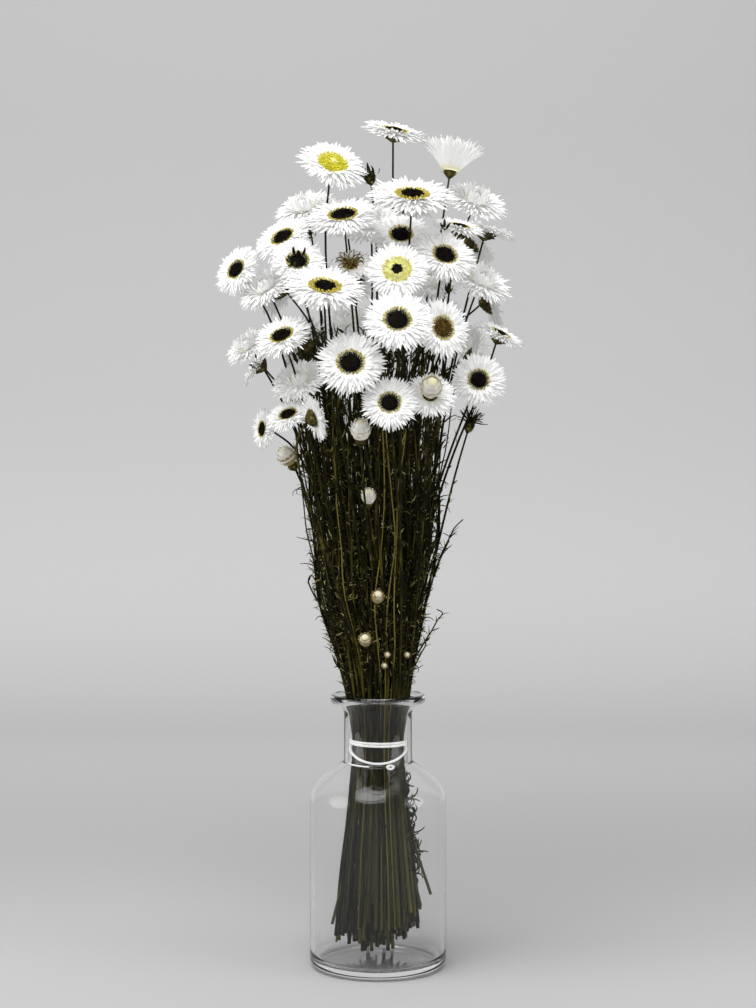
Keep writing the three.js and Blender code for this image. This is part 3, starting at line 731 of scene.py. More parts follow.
def make_blade(name, columns, widths, lifts, fold, notch, slides=None):
    """A grid whose rows are squeezed and lifted, with a folded middle and a notched tip."""
    rows = len(widths) - 1
    bpy.ops.object.select_all(action="DESELECT")
    bpy.ops.mesh.primitive_grid_add(x_subdivisions=columns, y_subdivisions=rows, size=1, location=(0, 0.5, 0))
    blade = bpy.context.object
    blade.name = name
    bpy.ops.object.transform_apply(location=True)
    for row, (width, lift) in enumerate(zip(widths, lifts)):
        level = row / rows
        pick(blade, lambda p: abs(p.y - level) < 0.01)
        bpy.ops.transform.resize(value=(width, 1, 1), center_override=(0, level, 0))
        bpy.ops.transform.translate(value=(0, 0, lift))
    if slides:
        for row in range(rows, 0, -1):
            pick(blade, lambda p: p.y > (row - 0.5) / rows)
            bpy.ops.transform.translate(value=(0, slides[row] - slides[row - 1], 0))
    if fold:
        pick(blade, lambda p: abs(p.x) < 0.001)
        bpy.ops.transform.translate(value=(0, 0, -fold))
    if notch:
        pick(blade, lambda p: abs(p.x) < 0.001 and p.y > 0.99)
        bpy.ops.transform.translate(value=(0, -notch, 0))
    bpy.ops.object.mode_set(mode="OBJECT")
    return read_master(blade)


petal_masters = {form: make_blade("petal_" + form, 2, PETAL_WIDTHS, lifts, 0.02, 0.06)
                 for form, lifts in PETAL_FORMS.items()}
print("petal faces", len(petal_masters["flat"]["sizes"]))

# %% [markdown]
# ## The blooms
# A dried bloom has five loose layers of petals. The lowest are the longest and lie almost flat,
# and each layer above is shorter and stands up more. Within a layer the petals are spread by
# even steps with a small random shift, so that they overlap like the real ones. The ring that
# the frame holds gives the reach of the lowest layer. The closing bloom has wider petals that
# all stand up. The ten blooms deep in the bunch show as soft white masses without a disc: more
# short petals close over their middle.

# %% Layers of petals
PETAL_LAYERS = (
    {"count": 52, "reach": 1.06, "pitch": -2, "form": "flat"},
    {"count": 52, "reach": 1.04, "pitch": 3, "form": "curled"},
    {"count": 48, "reach": 0.97, "pitch": 8, "form": "flat"},
    {"count": 42, "reach": 0.85, "pitch": 13, "form": "curled"},
    {"count": 32, "reach": 0.69, "pitch": 19, "form": "cupped"},
)
PETAL_WIDTH = 0.105
PETAL_START = 0.85
FAN_WIDENING = 1.8
LAYER_BASE = 0.2
LAYER_STEP = 0.25
SAME_FORM_SHARE = 0.6


def bloom_petals(bloom, random):
    """The five layers of one bloom, with their roots on the edge of its disc."""
    copies = []
    start = bloom["hole"] * PETAL_START
    widest = bloom["radius"] * PETAL_WIDTH
    raised = math.radians(bloom["lift"])
    stand = stand_at(bloom["at"], bloom["facing"])
    forms = list(petal_masters)
    for level, layer in enumerate(PETAL_LAYERS):
        lift = Matrix.Translation(Vector(bloom["facing"]) * (LAYER_BASE + LAYER_STEP * level))
        for i in range(layer["count"]):
            angle = 2 * math.pi * (i + 0.5 * (level % 2) + random.between(-0.25, 0.25)) / layer["count"]
            reach = bloom["radius"] * layer["reach"] * random.between(0.84, 1.02)
            pitch = math.radians(layer["pitch"] + random.between(-4, 5))
            length = (reach - start) / (math.cos(pitch) * math.cos(raised))
            width = widest * random.between(0.75, 1.15) * (FAN_WIDENING if bloom["lift"] else 1)
            form = layer["form"] if random() < SAME_FORM_SHARE else forms[int(random() * len(forms))]
            twist = random.between(-0.28, 0.28)
            matrix = lift @ set_round(stand, angle, start, 0, pitch + raised, (width, length, length), twist)
            copies.append((petal_masters[form], matrix, random()))
    return copies


# %% Petals that fold over a disc
FOLDED_BLOOMS = range(28, 38)
FOLDED_WIDTH = 0.36
FOLDED_LAYERS = (
    {"count": 26, "start": 0.95, "length": 0.95, "pitch": 150, "height": 1.2},
    {"count": 22, "start": 0.9, "length": 1.05, "pitch": 118, "height": 1.6},
    {"count": 24, "start": 0.95, "length": 1.2, "pitch": 72, "height": 1.4},
    {"count": 24, "start": 1.0, "length": 1.3, "pitch": 42, "height": 1.2},
)


def folded_petals(bloom, random):
    """Short petals that close over the disc of a bloom deep in the bunch."""
    copies = []
    hole = bloom["hole"]
    stand = stand_at(bloom["at"], bloom["facing"])
    for layer in FOLDED_LAYERS:
        lift = Matrix.Translation(Vector(bloom["facing"] * layer["height"]))
        for i in range(layer["count"]):
            angle = 2 * math.pi * (i + random.between(-0.3, 0.3)) / layer["count"]
            pitch = math.radians(layer["pitch"] + random.between(-12, 12))
            length = hole * layer["length"] * random.between(0.8, 1.15)
            size = (hole * FOLDED_WIDTH, length, length)
            matrix = lift @ set_round(stand, angle, hole * layer["start"], 0, pitch, size, random.between(-0.4, 0.4))
            copies.append((petal_masters["cupped"], matrix, random()))
    return copies


# %% Make the blooms
PETAL_SEED = 100
FOLDED_SEED = 900


def make_blooms():
    """One piece of petals for each ring in the frame."""
    for number, bloom in enumerate(blooms, 1):
        copies = bloom_petals(bloom, SeededRandom(PETAL_SEED + number))
        if number in FOLDED_BLOOMS:
            copies += folded_petals(bloom, SeededRandom(FOLDED_SEED + number))
        piece = gather(f"white_petals_{number:02d}", copies, FAN_PETAL if bloom["lift"] else WHITE_PETAL)
        finish_piece(piece, "petal", bloom["node"])
    print("petals", sum(layer["count"] for layer in PETAL_LAYERS), "in each of", len(blooms), "blooms")


make_blooms()

# %% [markdown]
# ## Discs and cups
# The dark middle of a bloom is a dome of packed florets, with a ring of yellow ones round it.
# One floret is modelled: a five-sided stub with a sunken tip. The copies follow the spiral in
# which a real disc grows, with each one turned out along the dome. Below the petals an olive
# cup with pointed scales holds them and joins the stem. A few blooms differ: one disc is all
# yellow, one is small and dark in a pale ring, two have a wide ring, and two are spent and tan.

# %% Floret and scale masters
def make_floret():
    """A five-sided cone whose wide end is sunk in."""
    bpy.ops.object.select_all(action="DESELECT")
    bpy.ops.mesh.primitive_cone_add(vertices=5, radius1=0.31, radius2=0.52, depth=1, location=(0, 0, 0.5))
    floret = bpy.context.object
    bpy.ops.object.transform_apply(location=True)
    bpy.ops.object.mode_set(mode="EDIT")
    bpy.ops.mesh.select_mode(type="FACE")
    bpy.ops.mesh.select_all(action="DESELECT")
    bpy.ops.object.mode_set(mode="OBJECT")
    for face in floret.data.polygons:
        face.select = face.normal.z > 0.9
    bpy.ops.object.mode_set(mode="EDIT")
    bpy.ops.mesh.inset(thickness=0.18, depth=-0.2)
    bpy.ops.object.mode_set(mode="OBJECT")
    return read_master(floret)


def make_dome(name, outline, steps):
    """A small body of revolution, read as a master."""
    return read_master(spin_outline(name, outline, steps))


floret_master = make_floret()
dome_master = make_dome("disc_dome", [(0, 0), (0.96, 0), (1, 0.1), (0.85, 0.45), (0.55, 0.78), (0, 1)], 20)
cup_master = make_dome("cup", [(0, 0), (0.14, 0), (0.3, 0.12), (0.62, 0.4), (0.88, 0.72), (1, 1), (0, 1)], 16)
scale_master = make_blade("cup_scale", 2, (0.9, 1.0, 0.75, 0.1), (0, 0.1, 0.12, 0.06), 0.05, 0.0)
print("floret faces", len(floret_master["sizes"]), "scale faces", len(scale_master["sizes"]))

# %% Florets of a disc
GOLDEN_TURN = math.pi * (3 - math.sqrt(5))
BLOOM_KINDS = {2: "yellow", 3: "closing", 4: "haloed", 10: "haloed", 11: "small_disc", 15: "spent", 17: "tan",
               22: "opening"}
WIDE_DISCS = {"small_disc": 1.18, "yellow": 1.15}
DARK_SHARES = {"small_disc": 0.46, "haloed": 0.78}
FLORET_COLOURS = ("dark", "yellow", "lemon", "tan")
DISC_COLOURS = {"yellow": "lemon", "spent": "tan", "tan": "tan"}
DISC_BASE = 0.9
DISC_DOME = 0.22
DISC_FLORETS = 120
WIDE_DISC_FLORETS = 210
RING_FLORETS = 41
RING_ROWS = (0.97, 1.04)


def disc_florets(bloom, kind, random):
    """Packed florets on the dome of one disc, and two rows of small yellow ones round its edge."""
    found = {colour: [] for colour in FLORET_COLOURS}
    count = WIDE_DISC_FLORETS if kind in WIDE_DISCS else DISC_FLORETS
    edge = bloom["hole"] * WIDE_DISCS.get(kind, 1.04)
    dome = edge * DISC_DOME
    stand = stand_at(bloom["at"] + bloom["facing"] * DISC_BASE, bloom["facing"])

    def place(colour, angle, share, width, length, tone, raised=0.0):
        lean = -math.radians(45 * share ** 2)
        height = dome * (1 - share ** 2) + raised * edge
        matrix = set_round(stand, angle, edge * share, height, lean, (edge * width, edge * width, edge * length))
        found[colour].append((floret_master, matrix, tone))

    for i in range(count):
        share = math.sqrt((i + 0.5) / count)
        colour = DISC_COLOURS.get(kind, "dark")
        if share > DARK_SHARES.get(kind, 1.0):
            colour = "lemon" if kind == "small_disc" else "yellow"
        tone = random.between(0.8, 1.0) if kind == "small_disc" or share < 0.3 else random.between(0.0, 0.8)
        width = 0.14 * random.between(0.85, 1.15)
        place(colour, i * GOLDEN_TURN, share * 0.93, width, 0.2 * random.between(0.8, 1.3), tone)
    ring = "lemon" if kind in WIDE_DISCS else "yellow"
    for row, share in enumerate(RING_ROWS):
        for i in range(RING_FLORETS):
            angle = 2 * math.pi * (i + 0.5 * row + random.between(-0.3, 0.3)) / RING_FLORETS
            place(ring, angle, share, 0.095, 0.26 * random.between(0.7, 1.3), random.between(0.3, 0.9), 0.1)
    return found


def disc_dome(bloom):
    """The dome under the florets, which closes the gaps between them."""
    edge = bloom["hole"]
    stand = stand_at(bloom["at"] + bloom["facing"] * (DISC_BASE - 0.2), bloom["facing"])
    return stand @ Matrix.Diagonal((edge, edge, edge * DISC_DOME, 1))


# %% Cups with their scales
CUP_DEPTH = 4.5
CUP_WIDTH = 1.15
FAN_CUP_WIDTH = 0.7
CUP_ROWS = ((12, 1.4, 0.55), (14, 2.6, 0.8))
CUP_SCALE = (0.32, 0.55, 0.5)


def cup_parts(bloom, random):
    """An olive cup under a bloom, with two rows of pointed scales (count, height, share of its width)."""
    wide = bloom["hole"] * (FAN_CUP_WIDTH if bloom.get("lift") else CUP_WIDTH)
    stand = stand_at(bloom["at"] - bloom["facing"] * (CUP_DEPTH + 0.4), bloom["facing"])
    parts = [(cup_master, stand @ Matrix.Diagonal((wide, wide, CUP_DEPTH, 1)), random())]
    for row, (count, height, away) in enumerate(CUP_ROWS):
        for i in range(count):
            angle = 2 * math.pi * (i + 0.5 * row) / count
            lean = math.radians(random.between(28, 50))
            matrix = set_round(stand, angle, wide * away, height, lean, [wide * part for part in CUP_SCALE])
            parts.append((scale_master, matrix, random()))
    return parts


# %% Make the discs
DISC_SEED = 500
FLORET_FINISHES = {"dark": DARK_DISC, "yellow": YELLOW_FLORET, "lemon": LEMON_FLORET, "tan": TAN_FLORET}


def make_discs():
    """The florets of all blooms by colour, and the cups of all blooms in one piece."""
    florets = {colour: [] for colour in FLORET_COLOURS}
    cups = []
    for number, bloom in enumerate(blooms, 1):
        random = SeededRandom(DISC_SEED + number)
        kind = BLOOM_KINDS.get(number, "dark")
        cups += cup_parts(bloom, random)
        if kind in ("opening", "closing") or number in FOLDED_BLOOMS:
            continue
        florets[DISC_COLOURS.get(kind, "dark")].append((dome_master, disc_dome(bloom), 0.5))
        for colour, copies in disc_florets(bloom, kind, random).items():
            florets[colour] += copies
    for colour, finish in FLORET_FINISHES.items():
        piece = gather(f"disc_florets_{colour}", florets[colour], finish, smooth=False)
        finish_piece(piece, "stem")
        print(piece.name, len(florets[colour]))
    finish_piece(gather("bloom_cups", cups, CUP_GREEN), "stem")


make_discs()

# %% [markdown]
# ## Routes of the stems
# Every stem starts at its cut end, goes up through its place in the tied bundle, out of the
# bottle's mouth and up behind its bloom. The plain solid was laid out by the same rule, so the
# round stems made here lie where its stems are. A stem that would run through another bloom is
# bent round it.

# %% Sizes of the bunch
TIE_HEIGHT = 126
STEM_RADIUS = 1.1
STEM_SPANS = 6
SLOT_HEIGHTS = (112, TIE_HEIGHT, 150)
STEM_FOOT = 4.3
FOOT_SCATTER = 26
FRONT_TRIM = 9
RING_SHARES = (1, 0.68, 0.36)
RING_PATTERN = (0, 1, 0, 2, 0, 1)
BUNCH_HEIGHTS = (4, 38, 66, 94, 112, 126, 138, 152, 166, 183, 205, 238, 277)
BUNCH_RADII = (25.5, 23.5, 20.5, 16.8, 15, 14.4, 15.2, 18.6, 21.5, 26.5, 32, 37, 42)
BUDS = (
    {"at": (-9, -72, 295), "facing": (0, -0.5, 0.87), "radius": 5},
    {"at": (-5, -44, 261), "facing": (0, -0.6, 0.8), "radius": 3.7},
    {"at": (-0.5, -38, 208), "facing": (0.1, -0.8, 0.6), "radius": 3.3},
    {"at": (-6.5, -31, 184), "facing": (-0.1, -0.8, 0.6), "radius": 3.3},
    {"at": (-47, -20, 281), "facing": (-0.5, -0.3, 0.8), "radius": 4.8},
)
BARE_HEADS = (
    {"at": (50, -20, 302), "facing": (0.3, -0.2, 0.93), "radius": 2.9},
    {"at": (-4.5, -8, 438), "facing": (-0.2, -0.5, 0.85), "radius": 3.4},
)


def bunch_radius(height):
    """How wide the tied stems stand at a height."""
    return float(np.interp(height, BUNCH_HEIGHTS, BUNCH_RADII))


# %% The leafy outside of the bunch
LEAFY_HEIGHTS = (126, 138, 152, 166, 183, 205, 238, 277, 310, 345)
LEAFY_RADII = (14.4, 15.2, 18.4, 21, 26, 32, 37.5, 42, 46, 50)
LEAFY_MIDDLES = (0, 0, 0, -0.5, -1.5, -3.7, -2, -3.5, -4, -3)
LEAFY_DEPTH = 0.92


def leafy_place(height, angle, share):
    """A point in the leafy bunch, which is a little fuller on its left side."""
    if height < LEAFY_HEIGHTS[0]:
        away, middle = bunch_radius(height), 0.0
    else:
        away = float(np.interp(height, LEAFY_HEIGHTS, LEAFY_RADII))
        middle = float(np.interp(height, LEAFY_HEIGHTS, LEAFY_MIDDLES))
    return np.array((middle + away * share * math.cos(angle), away * share * LEAFY_DEPTH * math.sin(angle), height))


def as_head(entry):
    return {**entry, "at": np.array(entry["at"], float), "facing": unit(entry["facing"])}


buds = [as_head(entry) for entry in BUDS]
bare_heads = [as_head(entry) for entry in BARE_HEADS]
print("buds", len(buds), "bare heads", len(bare_heads))


# %% Twigs and slots
TWIG_COUNT = 9
TWIG_TIPS = (195, 300)
LEAVES_PER_TWIG = 4
TWIG_SEED = 31


def twig_heads():
    """Tips of bare twigs, spread round the bunch."""
    random = SeededRandom(TWIG_SEED)
    heads = []
    for i in range(TWIG_COUNT):
        angle = 2 * math.pi * (i + 0.5 * random()) / TWIG_COUNT
        height = random.between(*TWIG_TIPS)
        at = around(angle, bunch_radius(height) * random.between(0.85, 1.05), height)
        heads.append({"at": at, "facing": unit(around(angle, 0.3, 1)), "radius": 1, "twig": True})
    return heads


def give_slots(heads):
    """Hands out the places round the bundle in the order in which the heads lie round it."""
    rings = [[] for share in RING_SHARES]
    for i, head in enumerate(sorted(heads, key=lambda h: math.atan2(h["at"][1], h["at"][0]))):
        rings[RING_PATTERN[i % len(RING_PATTERN)]].append(head)
    for share, ring in zip(RING_SHARES, rings):
        for i, head in enumerate(ring):
            head["slot"] = (share, 2 * math.pi * i / len(ring) - math.pi)


# %% Bend round a bloom
STEM_CLEARANCE = 6.5
RIM_CLEARANCE = 2
PETAL_LIFT = 0.1


def push_out(point, bloom):
    """Moves a point half of the way out of the space that a bloom keeps free."""
    offset = point - bloom["at"]
    level = offset @ bloom["facing"]
    flat = offset - level * bloom["facing"]
    along = level - bloom["radius"] * PETAL_LIFT
    in_flat = STEM_CLEARANCE - abs(along)
    in_round = bloom["radius"] + RIM_CLEARANCE - np.linalg.norm(flat)
    if in_flat <= 0 or in_round <= 0:
        return point
    if in_flat < in_round:
        return point + bloom["facing"] * math.copysign(in_flat * 0.5, along)
    return point + unit(flat) * in_round * 0.5


# %% Lay the routes
SIDE_TRIM = 8
BEND_ROUNDS = 40
BEND_SMOOTHING = 0.15
LEAVING_SHARE = 0.45
ARRIVING_SHARE = 0.24
LOWEST_OBSTACLE = 150
ROUTE_SEED = 5


def trimmed_foot(slot, scatter):
    """The outer stems at the front are cut shorter, and so are those on the right."""
    share, angle = slot
    side = max(0, share * math.cos(angle))
    return STEM_FOOT + FOOT_SCATTER * scatter + FRONT_TRIM * share * (1 - math.sin(angle)) + SIDE_TRIM * side ** 2


def lay_route(head, foot, others):
    """Points of a stem: straight up through its slot, then a free curve that bends round blooms."""
    share, angle = head["slot"]
    points = [around(angle, (bunch_radius(height) - STEM_RADIUS) * share, height) for height in (foot, *SLOT_HEIGHTS)]
    top = head["at"] + head["facing"] * (1 - CUP_DEPTH)
    mouth = points[-1]
    reach = np.linalg.norm(top - mouth)
    leaving = mouth + unit((mouth[0] * 1.1, mouth[1] * 1.1, 100)) * reach * LEAVING_SHARE
    arriving = top - head["facing"] * reach * ARRIVING_SHARE
    steps = 2 * STEM_SPANS
    for i in range(1, steps + 1):
        t = i / steps
        points.append((1 - t) ** 3 * mouth + 3 * t * (1 - t) ** 2 * leaving
                      + 3 * t * t * (1 - t) * arriving + t ** 3 * top)
    free = len(SLOT_HEIGHTS) + 1
    last = len(points) - 1
    for _ in range(BEND_ROUNDS):
        for i in range(free, last):
            for bloom in others:
                points[i] = push_out(points[i], bloom)
        for i in range(free, last - 1):
            points[i] = points[i] + ((points[i - 1] + points[i + 1]) / 2 - points[i]) * BEND_SMOOTHING
    return [p for i, p in enumerate(points) if i < free or (i - free) % 2 == 1]


def lay_routes():
    """The stems' routes. A twig skips the draws that the plain solid spends on its leaves."""
    heads = blooms + buds + bare_heads + twig_heads()
    give_slots(heads)
    obstacles = blooms + [{**bud, "radius": bud["radius"] + 1} for bud in buds]
    random = SeededRandom(ROUTE_SEED)
    routes = []
    for head in heads:
        foot = trimmed_foot(head["slot"], random() * random())
        others = [o for o in obstacles if o["at"] is not head["at"] and o["at"][2] > LOWEST_OBSTACLE]
        routes.append({"points": lay_route(head, foot, others), "twig": head.get("twig", False)})
        if head.get("twig"):
            for _ in range(2 * LEAVES_PER_TWIG):
                random()
    return routes


routes = lay_routes()
print("routes", len(routes))

# %% [markdown]
# ## Stems and side shoots
# The bunch is much fuller than its blooms: thinner side shoots fill it between the flower stems.
# They spread evenly through the bundle, at the same share of its radius all the way up, and end
# among the blooms. All of them are curves with a round bevel that tapers towards the top, turned
# into meshes at the end. None of them may pass in front of a bud.

# %% Tubes from routes
def tubes(name, strands, material, sides=1):
    """One mesh of round tubes from (points in millimetres, root radius, tip radius, tone) strands."""
    curve = bpy.data.curves.new(name, "CURVE")
    curve.dimensions = "3D"
    curve.bevel_depth = MM
    curve.bevel_resolution = sides
    curve.use_fill_caps = True
    for points, root, tip, tone in strands:
        spline = curve.splines.new("POLY")
        spline.points.add(len(points) - 1)
        for i, point in enumerate(points):
            share = i / (len(points) - 1)
            spline.points[i].co = (point[0] * MM, point[1] * MM, point[2] * MM, 1)
            spline.points[i].radius = root + (tip - root) * share
    holder = bpy.data.objects.new(name, curve)
    bpy.context.scene.collection.objects.link(holder)
    only(holder)
    bpy.ops.object.convert(target="MESH")
    bpy.ops.object.shade_smooth()
    holder.data.materials.append(material)
    counts = np.array([len(points) for points, root, tip, tone in strands])
    tone_of = [tone for points, root, tip, tone in strands]
    ring = len(holder.data.vertices) // (counts.sum() + 2 * len(strands))
    tones = np.concatenate([np.repeat(tone_of[::-1], 2 * ring), np.repeat(tone_of, counts * ring)])
    holder.data.attributes.new("tone", "FLOAT", "POINT").data.foreach_set("value", tones)
    return holder


# %% Side shoots
SHOOT_COUNT = 330
SHOOT_SEED = 77
SHOOT_TOPS = (260, 354)
SHOOT_POINTS = 22
DARK_TONES = 0.74
PALE_SHOOTS = ((-84, 0.97), (-76, 0.99), (-67, 0.98), (-118, 0.95))
PALE_SHOOT_ENDS = (25, 300)
BUD_MIDDLE = 4
BUD_VIEW_HEIGHT = 9
BUD_VIEW_DEPTH = 3


def shoot_route(angle, share, foot, top, phase):
    """A thin shoot at a fixed share of the bunch's radius, with a slight wave."""
    points = []
    for height in np.linspace(foot, top, SHOOT_POINTS):
        calm = min(1, max(0.25, (height - 140) / 40))
        wave = calm * (0.03 * math.sin(height / 17 + phase) + 0.015 * math.sin(height / 6 + 2 * phase))
        turn = calm * 0.06 * math.sin(height / 27 + phase)
        points.append(leafy_place(height, angle + turn, share + wave))
    return points


def hides_bud(place, width=5.5):
    """True for a place that lies straight in front of a bud."""
    return any(abs(place[0] - bud["at"][0]) < width
               and abs(place[2] - bud["at"][2] - BUD_MIDDLE) < BUD_VIEW_HEIGHT
               and place[1] < bud["at"][1] + BUD_VIEW_DEPTH for bud in buds)


def side_shoots():
    """Dark shoots all through the bunch, and a few pale ones on its front."""
    random = SeededRandom(SHOOT_SEED)
    made = []
    for i in range(SHOOT_COUNT):
        share = 0.96 * math.sqrt((i + 0.5) / SHOOT_COUNT)
        angle = i * GOLDEN_TURN
        foot = trimmed_foot((share, angle), 0.1 + 1.2 * random() * random()) + 2
        tone = DARK_TONES * random() ** 2
        points = shoot_route(angle, share, foot, random.between(*SHOOT_TOPS), i)
        if not any(hides_bud(point, 3.5) for point in points):
            made.append({"points": points, "tone": tone})
    for turn, share in PALE_SHOOTS:
        made.append({"points": shoot_route(math.radians(turn), share, *PALE_SHOOT_ENDS, turn), "tone": 1.0})
    return made


shoots = side_shoots()
print("side shoots", len(shoots))

# %% [markdown]
# At the bottom the bundle isn't neat: some cut ends lean out towards the glass. Each is placed by
# its end and by the height at which it leaves the bundle.

# %% Splayed feet
SPLAYED = (
    ((29.3, -5, 41), 96), ((23.7, -8, 35), 84), ((20.4, -10, 31.6), 72), ((16.5, -12, 27.1), 60),
    ((-25.4, -8, 25), 74), ((-19.3, -12, 24.3), 60), ((24, 6, 30), 80), ((-22, 10, 28), 70),
    ((4, -22, 22), 60), ((-8, -22, 20), 62), ((12, -20, 26), 66),
)


def splayed_feet():
    """Loose cut ends that lean out from the bundle towards the glass."""
    strands = []
    for end, height in SPLAYED:
        end = np.array(end, dtype=float)
        outward = end[:2] / np.linalg.norm(end[:2])
        root = np.array((*outward * bunch_radius(height) * 0.9, height))
        middle = (root + end) / 2 - np.array((*outward, 0)) * 1.5
        strands.append((smooth_route([root, middle, end], 4), 0.7, 0.85, 0.4))
    return strands


# %% Make the stems
STEM_SIZE = 0.95
TWIG_SIZE = 0.62
SHOOT_SIZE = 0.7
PALE_SHOOT_SIZE = 0.5
SHOOT_TIP = 0.3
STEM_SEED = 29


def make_stems():
    """The flower stems in one piece and everything thinner in another."""
    random = SeededRandom(STEM_SEED)
    strands = []
    for route in routes:
        size = TWIG_SIZE if route["twig"] else STEM_SIZE
        strands.append((smooth_route(route["points"], 4), size * 1.1, size * 0.55, DARK_TONES * random() ** 2))
    piece = tubes("flower_stems", strands, STEM_BARK, 2)
    finish_piece(piece, "stem", "stems")
    thin = []
    for shoot in shoots:
        size = PALE_SHOOT_SIZE if shoot["tone"] == 1 else SHOOT_SIZE
        thin.append((smooth_route(shoot["points"], 2), size, SHOOT_TIP, shoot["tone"]))
    thin += splayed_feet()
    finish_piece(tubes("side_shoots", thin, STEM_BARK, 0), "stem")
    print("stem faces", len(piece.data.polygons))


make_stems()

# %% [markdown]
# ## Leaves
# The dried leaves are short, narrow and curled, and there are thousands of them. One blade is
# modelled in four forms and copied along the stems and shoots, pointing up and out. In the neck,
# where the bundle is pressed together, they lie close, and none may reach the glass. Small curled
# scraps cover the outside of the bunch, and broader dark leaves close the gaps inside it.

# %% Leaf masters
LEAF_WIDTHS = (0.5, 1.0, 0.9, 0.55, 0.08)
LEAF_FORMS = {
    "straight": ((0, 0.02, 0.03, 0.02, 0.0), (0, 0, 0, 0, 0)),
    "hooked": ((0, 0.05, 0.14, 0.30, 0.50), (0, 0, 0, -0.06, -0.18)),
    "arched": ((0, 0.10, 0.14, 0.05, -0.16), (0, 0, 0, 0, -0.04)),
    "coiled": ((0, 0.04, 0.20, 0.46, 0.52), (0, 0.02, -0.02, -0.22, -0.58)),
}
leaf_masters = {form: make_blade("leaf_" + form, 1, LEAF_WIDTHS, lifts, 0.0, 0.0, slides)
                for form, (lifts, slides) in LEAF_FORMS.items()}
print("leaf forms", ", ".join(leaf_masters))

# %% Room for the leaves
GLASS_CLEARANCE = 0.6
INSIDE_HEIGHTS = (BASE_THICKNESS, 92, 104, 113, 139, 147, RIM_HEIGHT)
INSIDE_RADII = (30, 35, 27, 16.6, 16.6, 18.5, 23)
NO_GLASS = 1000.0


def glass_inside(height):
    """How far from the axis a leaf may reach at a height."""
    if height > RIM_HEIGHT:
        return NO_GLASS
    return float(np.interp(height, INSIDE_HEIGHTS, INSIDE_RADII)) - GLASS_CLEARANCE


def glass_share(point):
    """How near a point comes to the glass: 1 on its inside, 0 on the axis."""
    return math.hypot(*point[:2]) / glass_inside(point[2])


def leaf_matrix(root, along, outward, spread, length, width, twist):
    """Points a unit blade up the stem and leans it outwards."""
    way = unit(along * math.cos(spread) + outward * math.sin(spread))
    side = unit(np.cross(way, along + outward * 0.3))
    normal = np.cross(side, way)
    basis = Matrix.Identity(4)
    for column, vector in enumerate((side, way, normal)):
        for row in range(3):
            basis[row][column] = vector[row]
    return (Matrix.Translation(Vector(root)) @ basis @ Matrix.Rotation(twist, 4, "Y")
            @ Matrix.Diagonal((width, length, length, 1)))


# %% Leaves along a stem
LEAF_HEIGHTS = (12, 335)
CLOSE_BELOW = 155
NEAREST_TO_GLASS = 0.97


def strand_leaves(points, count, random):
    """Leaves at random places of a stem. Those in the neck are short and lie close."""
    copies = []
    forms = list(leaf_masters.values())
    for _ in range(count):
        place = random() * (len(points) - 2)
        i = int(place)
        root = points[i] + (points[i + 1] - points[i]) * (place - i)
        if not LEAF_HEIGHTS[0] <= root[2] <= LEAF_HEIGHTS[1] or hides_bud(root):
            continue
        along = unit(points[i + 1] - points[i])
        outward = around(2 * math.pi * random(), 1, 0.0)
        close = root[2] < CLOSE_BELOW
        spread = random.between(0.15, 0.35) if close else random.between(0.35, 1.3)
        length = random.between(2.5, 7.5) * (0.6 if close else 1)
        tip = root + unit(along * math.cos(spread) + outward * math.sin(spread)) * length
        if max(glass_share(tip), glass_share(root)) > NEAREST_TO_GLASS:
            continue
        form = forms[int(random() * len(forms))]
        matrix = leaf_matrix(root, along, outward, spread, length, random.between(0.4, 0.8), random.between(-1.5, 1.5))
        copies.append((form, matrix, random()))
    return copies


# %% Curls outside, broad leaves inside
CURL_COUNT = 8200
LOW_CURL_SHARE = 0.4
LOW_CURL_HEIGHTS = (153, 225)
CURL_HEIGHTS = (170, 330)
INNER_COUNT = 3400
INNER_HEIGHTS = (165, 352)


def outer_curls(random):
    """Small curled scraps all over the outside of the bunch, thickest where it opens."""
    copies = []
    forms = (leaf_masters["coiled"], leaf_masters["hooked"], leaf_masters["arched"])
    for _ in range(CURL_COUNT):
        height = random.between(*(LOW_CURL_HEIGHTS if random() < LOW_CURL_SHARE else CURL_HEIGHTS))
        angle = 2 * math.pi * random()
        root = leafy_place(height, angle, random.between(0.7, 0.98 if height < 250 else 0.86))
        if hides_bud(root):
            continue
        outward = unit(around(angle, 1, 0))
        along = unit((random.between(-1, 1), random.between(-1, 1), random.between(-0.6, 1)))
        matrix = leaf_matrix(root, along, outward, random.between(0.2, 1.2), random.between(1.8, 4.8),
                             random.between(0.3, 0.6), random.between(-3, 3))
        copies.append((forms[int(random() * len(forms))], matrix, random()))
    return copies


def inner_leaves(random):
    """Broader dark leaves inside the bunch, which close the gaps between the shoots."""
    copies = []
    for _ in range(INNER_COUNT):
        height = random.between(*INNER_HEIGHTS)
        angle = 2 * math.pi * random()
        root = leafy_place(height, angle, 0.9 * math.sqrt(random()))
        outward = unit(around(angle, 1, 0))
        along = unit((random.between(-0.6, 0.6), random.between(-0.6, 0.6), 1))
        matrix = leaf_matrix(root, along, outward, random.between(0.1, 0.7), random.between(5, 10),
                             random.between(0.9, 1.7), random.between(-3, 3))
        copies.append((leaf_masters["arched" if random() < 0.5 else "hooked"], matrix, 0.5 * random()))
    return copies


